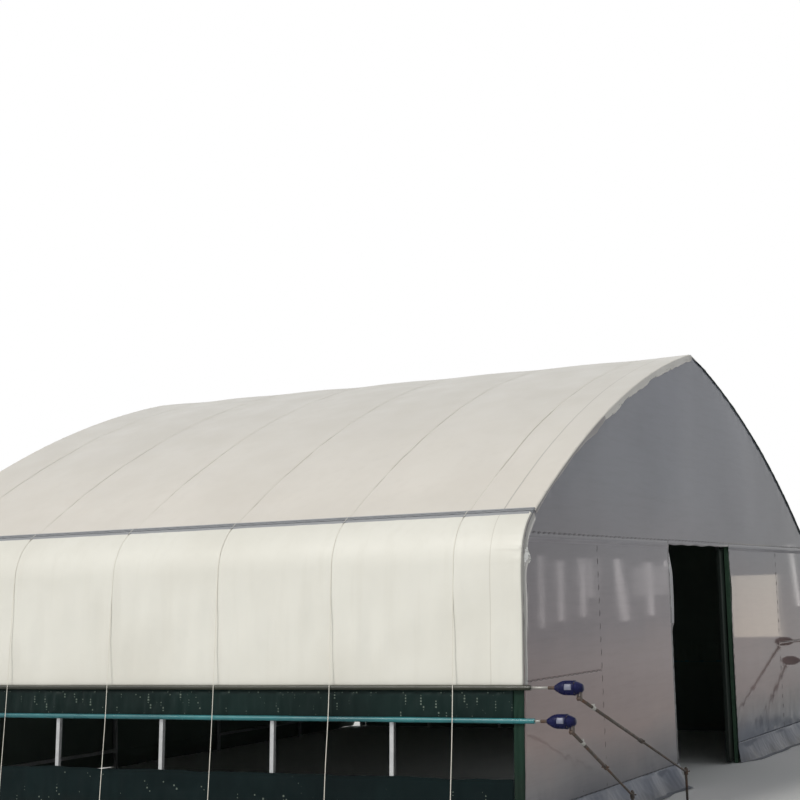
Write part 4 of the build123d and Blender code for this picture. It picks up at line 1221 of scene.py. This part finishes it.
def shaft(side, word, roll):
    x, z = side * roll.x, roll.z
    start = FACE_Y - roll.stub
    sleeve = FACE_Y - roll.drive_y + 0.048
    build = Build()
    build.add(*lathe((x, start, z), FORWARD, [(0, 0.0095), (start - sleeve, 0.0095)], 24))
    profile = [(0, 0.0100), (0.001, 0.0115), (0.042, 0.0115), (0.044, 0.0135), (0.048, 0.0135), (0.05, 0.012)]
    build.add(*lathe((x, sleeve, z), FORWARD, profile, 24), mark=1)
    bolt = [(0, 0.004), (0.001, 0.005), (0.025, 0.005), (0.026, 0.004)]
    build.add(*lathe((x - 0.013, sleeve - 0.018, z), (1, 0, 0), bolt, 6), mark=1)
    name = f"{roll.level}_shaft_{word}"
    materials = [PALE_STEEL, BROWN_STEEL]
    return build.piece(name, materials, slot="galvanised_steel", replaces=[f"{roll.level}_roll_{word}"])


# Reach and radius of a drive's housing from its nose to the end of its cap
HOUSING = (
    (0.0, 0.012), (0.0006, 0.0160), (0.003, 0.0185), (0.012, 0.0242), (0.022, 0.0305), (0.033, 0.0370),
    (0.044, 0.0420), (0.055, 0.0457), (0.066, 0.0480), (0.076, 0.0493), (0.079, 0.0494), (0.0800, 0.0480),
    (0.0812, 0.0480), (0.0822, 0.0497), (0.105, 0.0500), (0.137, 0.0496),
    (0.1385, 0.0496), (0.1392, 0.0511), (0.140, 0.052), (0.1475, 0.052), (0.1485, 0.0511), (0.1492, 0.0490),
    (0.1496, 0.0446), (0.151, 0.0440), (0.162, 0.0424), (0.174, 0.0386), (0.185, 0.0338), (0.194, 0.0296),
    (0.2005, 0.0262), (0.2050, 0.0210), (0.2074, 0.0125), (0.208, 0.005),
)


def drive_piece(side, word, roll):
    """Housing with a drawn-in nose, a ring, an end cap and a fork below for the guide arm."""
    x, z = side * roll.x, roll.z
    back = FACE_Y - roll.drive_y
    banded = side > 0
    build = Build()
    build.add(*lathe((x, back, z), FORWARD, HOUSING, 56))
    for turn in (45, 135, 225, 315):
        a = math.radians(turn)
        screw_at = (x + 0.0480 * math.cos(a), back - 0.1496, z + 0.0480 * math.sin(a))
        screw = [(0, 0.0042), (0.003, 0.0042), (0.0036, 0.0034)]
        build.add(*lathe(screw_at, FORWARD, screw, 6), mark=2, flat=True)
        rib_at = (x + 0.0465 * math.cos(a), back - 0.118, z + 0.0465 * math.sin(a))
        build.add(*lathe(rib_at, FORWARD, [(0, 0.002), (0.008, 0.0052), (0.022, 0.0056)], 16))
    if banded:
        for y0, y1, r in ((0.085, 0.101, 0.0499), (0.152, 0.164, 0.0438)):
            ring = [(y0, r - 0.003), (y0 + 0.0004, r), (y1 - 0.0004, r - 0.0002), (y1, r - 0.003)]
            build.add(*lathe((x, back, z), FORWARD, ring, 56), mark=3)
    else:
        facing = math.radians(180 - 10)
        plate = np.zeros((11, 6, 3))
        for i, a in enumerate(np.linspace(-0.40, 0.40, 11)):
            for j, c in enumerate(np.linspace(0.086, 0.1365, 6)):
                r = 0.0514 - (0.001 if i in (0, 10) or j in (0, 5) else 0)
                plate[i, j] = (x + r * math.cos(facing + a), back - c, z + r * math.sin(facing + a))
        points, faces, _ = sheet_shape(plate, 0.0016, flip=True)
        build.add(points, faces, mark=1)

    for way in (-1, 1):
        y0 = roll.fork_y + way * 0.0115
        turns = np.linspace(math.pi, 2 * math.pi, 13)
        cheek = [(0.017, 0.045), (-0.017, 0.045)]
        cheek += [(0.0165 * math.cos(t), 0.0165 * math.sin(t)) for t in turns]
        count = len(cheek)
        points = [(x + px, y0 + dy, roll.pin_z + pz) for dy in (-0.0025, 0.0025) for px, pz in cheek]
        faces = [tuple(range(count)), tuple(range(count, 2 * count))[::-1]]
        faces += [(i, i + count, (i + 1) % count + count, (i + 1) % count) for i in range(count)]
        build.add(points, faces, mark=2, flat=True)
    saddle_at = (x, roll.fork_y, roll.pin_z + 0.043)
    build.add(*slab(saddle_at, (0.036, 0.032, 0.014), 0.002), mark=2, flat=True)
    pin = [
        (-0.0165, 0.0075), (-0.0140, 0.0075), (-0.0139, 0.0049),
        (0.0139, 0.0049), (0.0140, 0.0085), (0.0205, 0.0085),
    ]
    build.add(*lathe((x, roll.fork_y, roll.pin_z), BACKWARD, pin, 12), mark=2, flat=True)
    name = f"{roll.level}_drive_body_{word}"
    materials = [BLUE, PLATE, PALE_STEEL if banded else BROWN_STEEL, RED]
    return build.piece(name, materials, slot="blue_housing", replaces=[f"{roll.level}_drive_{word}"])


def arm(build, side, roll):
    """Telescopic rod from the drive's pin to a collar on the stake."""
    start = np.array((side * roll.x, roll.fork_y, roll.pin_z))
    end = np.array((side * roll.foot[0], roll.fork_y, roll.foot[1]))
    length = float(np.linalg.norm(end - start))
    way = (end - start) / np.linalg.norm(end - start)
    split = 0.55 * length
    build.add(*tube([start + way * 0.010, start + way * split], 0.0118, 16))
    build.add(*tube([start + way * (split - 0.02), end - way * 0.012], 0.0088, 16))
    collar = [(0, 0.0135), (0.001, 0.0165), (0.040, 0.0165), (0.042, 0.0135)]
    build.add(*lathe(start + way * (split - 0.042), way, collar, 20))
    bolt = [(0, 0.004), (0.006, 0.007), (0.014, 0.007), (0.016, 0.0045), (0.056, 0.0045), (0.058, 0.003)]
    bolt_at = start + way * (split - 0.022) + np.array((0, -0.028, 0))
    build.add(*lathe(bolt_at, BACKWARD, bolt, 6), flat=True)
    at = roll.clamp_at * length
    sleeve = [(0, 0.013), (0.002, 0.0155), (0.046, 0.0155), (0.048, 0.013)]
    build.add(*lathe(start + way * (at - 0.024), way, sleeve, 20), mark=1)
    lug_at = start + way * at + np.array((0, 0, 0.018))
    build.add(*slab(lug_at, (0.026, 0.020, 0.016), 0.002), mark=1, flat=True)
    eye = [(0, 0.0060), (0.0001, 0.0145), (0.001, 0.0150), (0.015, 0.0150), (0.0159, 0.0145), (0.016, 0.0060)]
    build.add(*lathe((side * roll.x, roll.fork_y - 0.008, roll.pin_z), BACKWARD, eye, 24))
    foot_collar = [(0, 0.0118), (0.001, 0.0160), (0.049, 0.0160), (0.050, 0.0118)]
    build.add(*lathe(end - np.array((0, 0, 0.025)), UP, foot_collar, 24))
    screw = [(0, 0.0065), (0.005, 0.0065), (0.0052, 0.004), (0.016, 0.004)]
    build.add(*lathe(end + np.array((0, -0.030, 0.004)), BACKWARD, screw, 6), flat=True)


for side, word in SIDES:
    for make in (wound_roll, shaft, drive_piece):
        for roll in ROLLS:
            make(side, word, roll)
    arms = Build()
    for roll in ROLLS:
        arm(arms, side, roll)
    arms.piece(
        f"guide_rods_{word}", [BROWN_STEEL, PALE_STEEL], slot="brown_steel", replaces=[f"guide_arms_{word}"]
    )


# Stakes that the arms stand on, and pegs that the belts are tied to

BELT_FOOT_Z = 0.03
BELT_FOOT_OFF = 0.095
PEG_X = leg_x(BELT_FOOT_Z, 0.0968) + 0.007
PEG = ((0, 0.0066), (0.070, 0.0066), (0.0705, 0.0090), (0.0765, 0.0095), (0.0795, 0.0075), (0.080, 0.004))


def stakes():
    build = Build()
    for side in (-1, 1):
        for roll in ROLLS:
            top = roll.foot[1] + 0.035
            crown = [(top - 0.003, 0.0098), (top - 0.0005, 0.0088), (top, 0.0076), (top - 0.010, 0.0074)]
            build.add(*lathe((side * roll.foot[0], roll.fork_y, 0), UP, [(0, 0.0098)] + crown, 20))
        for y in belt_places():
            build.add(*lathe((side * PEG_X, y, 0), UP, PEG, 16))
    return build.piece("stakes_pegs", [BROWN_STEEL], slot="brown_steel", replaces=["stakes_and_pegs"])


stakes()


def belt_path(y):
    """X, Z and outward normal from the foot on the right, over the ridge, to the foot on the left."""
    s = np.concatenate([
        np.linspace(0, EAVE_S - 0.06, 100), np.linspace(EAVE_S - 0.045, EAVE_S + 0.045, 13),
        np.linspace(EAVE_S + 0.06, RAFTER_L, 4), np.linspace(RAFTER_L, RAFTER_L + KNEE_L, 9)[1:],
    ])
    over = ease(1 - (np.abs(s - EAVE_S) - 0.03) / 0.03)
    base = np.where(s < EAVE_S, np.maximum(roof_off(s, y), roof_off(-s, y)) + 0.0006, 0.0060)
    off = base + (0.0106 - base) * over
    x, z, nx, nz = outline(s, off)
    foot = np.array((leg_x(BELT_FOOT_Z, BELT_FOOT_OFF), BELT_FOOT_Z))
    last = np.array((x[-1], z[-1]))
    t = np.linspace(0, 1, 20)[1:]
    down = last + (foot - last) * t[:, None]
    way = (foot - last) / np.linalg.norm(foot - last)
    x = np.concatenate([x, down[:, 0]])
    z = np.concatenate([z, down[:, 1]])
    nx = np.concatenate([nx, np.full(len(t), -way[1])])
    nz = np.concatenate([nz, np.full(len(t), way[0])])
    keep = slice(None, 0, -1)
    return (
        np.concatenate([x[keep], -x]), np.concatenate([z[keep], z]),
        np.concatenate([nx[keep], -nx]), np.concatenate([nz[keep], nz]),
    )


def belts():
    build = Build()
    section = [(-0.003, 0), (0.003, 0), (0.0025, 0.0004), (0, 0.0006), (-0.0025, 0.0004)]
    loop = [(0, 0.0069), (0.0003, 0.0086), (0.004, 0.0090), (0.0076, 0.0086), (0.008, 0.0069)]
    for number, y in enumerate(belt_places()):
        x, z, nx, nz = belt_path(y)
        arc = np.cumsum(np.hypot(np.gradient(x), np.gradient(z)))
        sway = 0.004 * waves(500 + number, 2.4, arc, 0 * arc, 5)
        sway *= ease(arc / 0.8) * ease((arc[-1] - arc) / 0.8)
        ring = [np.stack([x + nx * t, y + sway + w, z + nz * t], -1) for w, t in section]
        sides = len(section)
        build.add(np.stack(ring, 1).reshape(-1, 3), skin(len(x), sides) + caps(len(x), sides))
        for side in (-1, 1):
            build.add(*lathe((side * PEG_X, y, BELT_FOOT_Z - 0.004), UP, loop, 20))
            build.add(*lathe((side * PEG_X, y, BELT_FOOT_Z + 0.0050), (0.1, 0.2, 1), loop, 20))
            tail = [
                (side * (PEG_X + 0.0085), y + 0.004, 0.040), (side * (PEG_X + 0.012), y + 0.006, 0.024),
                (side * (PEG_X + 0.013), y + 0.010, 0.008),
            ]
            build.add(*tube(tail, [0.004, 0.0034, 0.003], 6))
    return build.piece("belts", [BELT], slot="belt", replaces=["press_belts"])


belts()


# Film of the door leaf, across its frame

LEAF_X0 = 0.8
LEAF_X1 = 2.78
LEAF_Z0 = 0.025
LEAF_Z1 = 2.062
LEAF_RAIL_Z = 0.7625


def leaf_grid():
    x = lines(LEAF_X0 + 0.002, LEAF_X1 - 0.002, 0.025)
    z = lines(LEAF_Z0 + 0.002, LEAF_Z1 - 0.002, 0.035)
    grid_z, grid_x = np.meshgrid(z, x, indexing="ij")
    edge = np.minimum(grid_x - LEAF_X0, LEAF_X1 - grid_x)
    edge = np.minimum(edge, np.minimum(grid_z - LEAF_Z0, LEAF_Z1 - grid_z))
    edge = np.minimum(edge, np.abs(grid_z - LEAF_RAIL_Z))
    out = 0.0016 * waves(600, 0.4, grid_x, grid_z, 10, 2.5) * ease((edge - 0.02) / 0.12)
    leaf_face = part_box("door_leaf_film")[0].y + 0.0018
    return np.stack([grid_x, leaf_face - out, grid_z], -1)


leaf = film_piece(
    "door_leaf_sheet", leaf_grid(), [LEAF_FILM, FILM_INSIDE], "white_film", ["door_leaf_film"],
    "door", flip=True,
)


# Floor, lights and camera

def direct(tree, *kinds):
    """One for rays of these kinds, and zero for the others."""
    path = tree.nodes.new("ShaderNodeLightPath").outputs
    seen = path[kinds[0]]
    for kind in kinds[1:]:
        seen = maths(tree, "MAXIMUM", seen, path[kind])
    return seen


def floor():
    material, tree, shader, place = plain("floor", 0.9)
    put(tree, shader, {"Base Color": (0.80, 0.80, 0.79, 1)})
    glow = made(tree, "ShaderNodeEmission", {"Strength": 1.0}).outputs["Emission"]
    reach = made(tree, "ShaderNodeVectorMath", {0: place}, operation="LENGTH").outputs["Value"]
    seen = direct(tree, "Is Camera Ray", "Is Glossy Ray")
    share = maths(tree, "MULTIPLY", ramp(tree, reach, 8.0, 26.0), seen)
    mix = made(tree, "ShaderNodeMixShader", {0: share, 1: shader.outputs["BSDF"], 2: glow})
    tree.links.new(mix.outputs["Shader"], tree.nodes["Material Output"].inputs["Surface"])
    size = 400.0
    mesh = bpy.data.meshes.new("floor")
    corners = [(-size, -size, 0), (size, -size, 0), (size, size, 0), (-size, size, 0)]
    mesh.from_pydata(corners, [], [(0, 1, 2, 3)])
    mesh.materials.append(material)
    ground = bpy.data.objects.new("floor", mesh)
    bpy.context.collection.objects.link(ground)
    ground.location.z = -0.0008


AMBIENT = 0.32
SUN = 1.9

# Soft boxes beyond the house's right side, for the glints in the front film:
# Y of the top and of the bottom, Z of the bottom and of the top, width and radiance
GLINT_X = 5.0
GLINTS = (
    (-6.545, -6.540, 1.23, 2.18, 0.036, 4.2), (-6.285, -6.272, 1.31, 2.10, 0.066, 3.2),
    (-5.965, -5.962, 1.36, 2.12, 0.052, 3.2), (-5.840, -5.843, 1.60, 2.08, 0.115, 1.1),
    (-5.790, -5.790, 1.82, 2.11, 0.035, 2.2), (-5.478, -5.407, 1.30, 2.09, 0.086, 2.1),
    (-5.075, -5.060, 1.36, 2.03, 0.070, 2.0), (-5.045, -5.045, 1.62, 1.97, 0.480, 0.50),
    (-4.830, -4.836, 1.70, 2.05, 0.050, 2.2),
)
FAR_X = 8.0
FAR_GLINTS = {
    "patch": ((-4.500, -4.500, 0.985, 1.850, 0.665, 1.30), (1.0, 0.875, 0.70)),
    "streak": ((-3.988, -3.907, 1.40, 2.26, 0.040, 2.0), (1.0, 0.95, 0.93)),
}


def softbox(x, glint, colour):
    """Place, tilt, width, height, radiance and colour of a rectangular lamp that faces the house."""
    top_y, foot_y, low, high, wide, glow = glint
    place = (x, (top_y + foot_y) / 2, (low + high) / 2)
    return place, math.atan2(top_y - foot_y, high - low), wide, high - low, glow, colour


SOFTBOXES = {f"glint_{i + 1}": softbox(GLINT_X, glint, (1.0, 0.93, 0.93)) for i, glint in enumerate(GLINTS)}
SOFTBOXES.update({name: softbox(FAR_X, glint, colour) for name, (glint, colour) in FAR_GLINTS.items()})


def add_lamp(name, data, place, turn):
    lamp = bpy.data.objects.new(name, data)
    lamp.location = place
    lamp.rotation_mode = "QUATERNION"
    lamp.rotation_quaternion = turn
    bpy.context.collection.objects.link(lamp)
    return lamp


def lights():
    world = bpy.data.worlds.new("world")
    bpy.context.scene.world = world
    world.use_nodes = True
    tree = world.node_tree
    dim = tree.nodes["Background"]
    put(tree, dim, {"Color": (0.93, 0.97, 1.0, 1), "Strength": AMBIENT})
    white = made(tree, "ShaderNodeBackground", {"Color": (1, 1, 1, 1), "Strength": 1.0}).outputs["Background"]
    seen = direct(tree, "Is Camera Ray", "Is Glossy Ray", "Is Transmission Ray")
    mix = made(tree, "ShaderNodeMixShader", {0: seen, 1: dim.outputs["Background"], 2: white})
    tree.links.new(mix.outputs["Shader"], tree.nodes["World Output"].inputs["Surface"])

    sun = bpy.data.lights.new("key", "SUN")
    sun.energy = SUN
    sun.angle = math.radians(18)
    sun.color = (1.0, 0.97, 0.91)
    add_lamp("key", sun, (0, 0, 0), Vector((-0.66, 0.33, 0.67)).to_track_quat("Z", "Y"))
    upright = Vector((1, 0, 0)).to_track_quat("Z", "Y")
    for name, (place, tilt, wide, high, glow, colour) in SOFTBOXES.items():
        box = bpy.data.lights.new(name, "AREA")
        box.shape = "RECTANGLE"
        box.size = wide
        box.size_y = high
        box.energy = glow * math.pi * wide * high
        box.color = colour
        add_lamp(name, box, place, Quaternion((1, 0, 0), -tilt) @ upright).visible_camera = False


# The photograph's viewpoint, solved from the house's own edges
CAMERA_AT = (-14.5765, -7.2544, 1.6888)
YAW = math.radians(62.877)
PITCH = math.radians(7.001)
ROLL = math.radians(-1.605)


def camera():
    ahead = Vector((math.sin(YAW) * math.cos(PITCH), math.cos(YAW) * math.cos(PITCH), math.sin(PITCH)))
    level = Vector((math.cos(YAW), -math.sin(YAW), 0))
    over = level.cross(ahead)
    right = level * math.cos(ROLL) + over * math.sin(ROLL)
    up = over * math.cos(ROLL) - level * math.sin(ROLL)
    data = bpy.data.cameras.new("camera")
    data.sensor_width = 36.0
    data.lens = 72.0
    data.clip_end = 1000.0
    eye = bpy.data.objects.new("camera", data)
    turn = Matrix((right, up, -ahead)).transposed().to_4x4()
    eye.matrix_world = Matrix.Translation(CAMERA_AT) @ turn
    bpy.context.collection.objects.link(eye)
    bpy.context.scene.camera = eye


# CAD pieces that no dressed piece replaces
GREEN_NODES = ("front_posts", "front_channels", "door_track")
for name, node in nodes.items():
    # lock channels get the steel darkened as painted shade
    material = CHANNEL_STEEL if "channel" in name else GALVANISED
    if name in GREEN_NODES:
        material = POST_GREEN
    # the leaf frame gets steel painted nearly black as shade
    if name == "door_leaf_frame":
        material = LEAF_STEEL
    node.data.materials.clear()
    node.data.materials.append(material)

floor()
lights()
camera()
scene = bpy.context.scene
scene.view_settings.view_transform = "Standard"
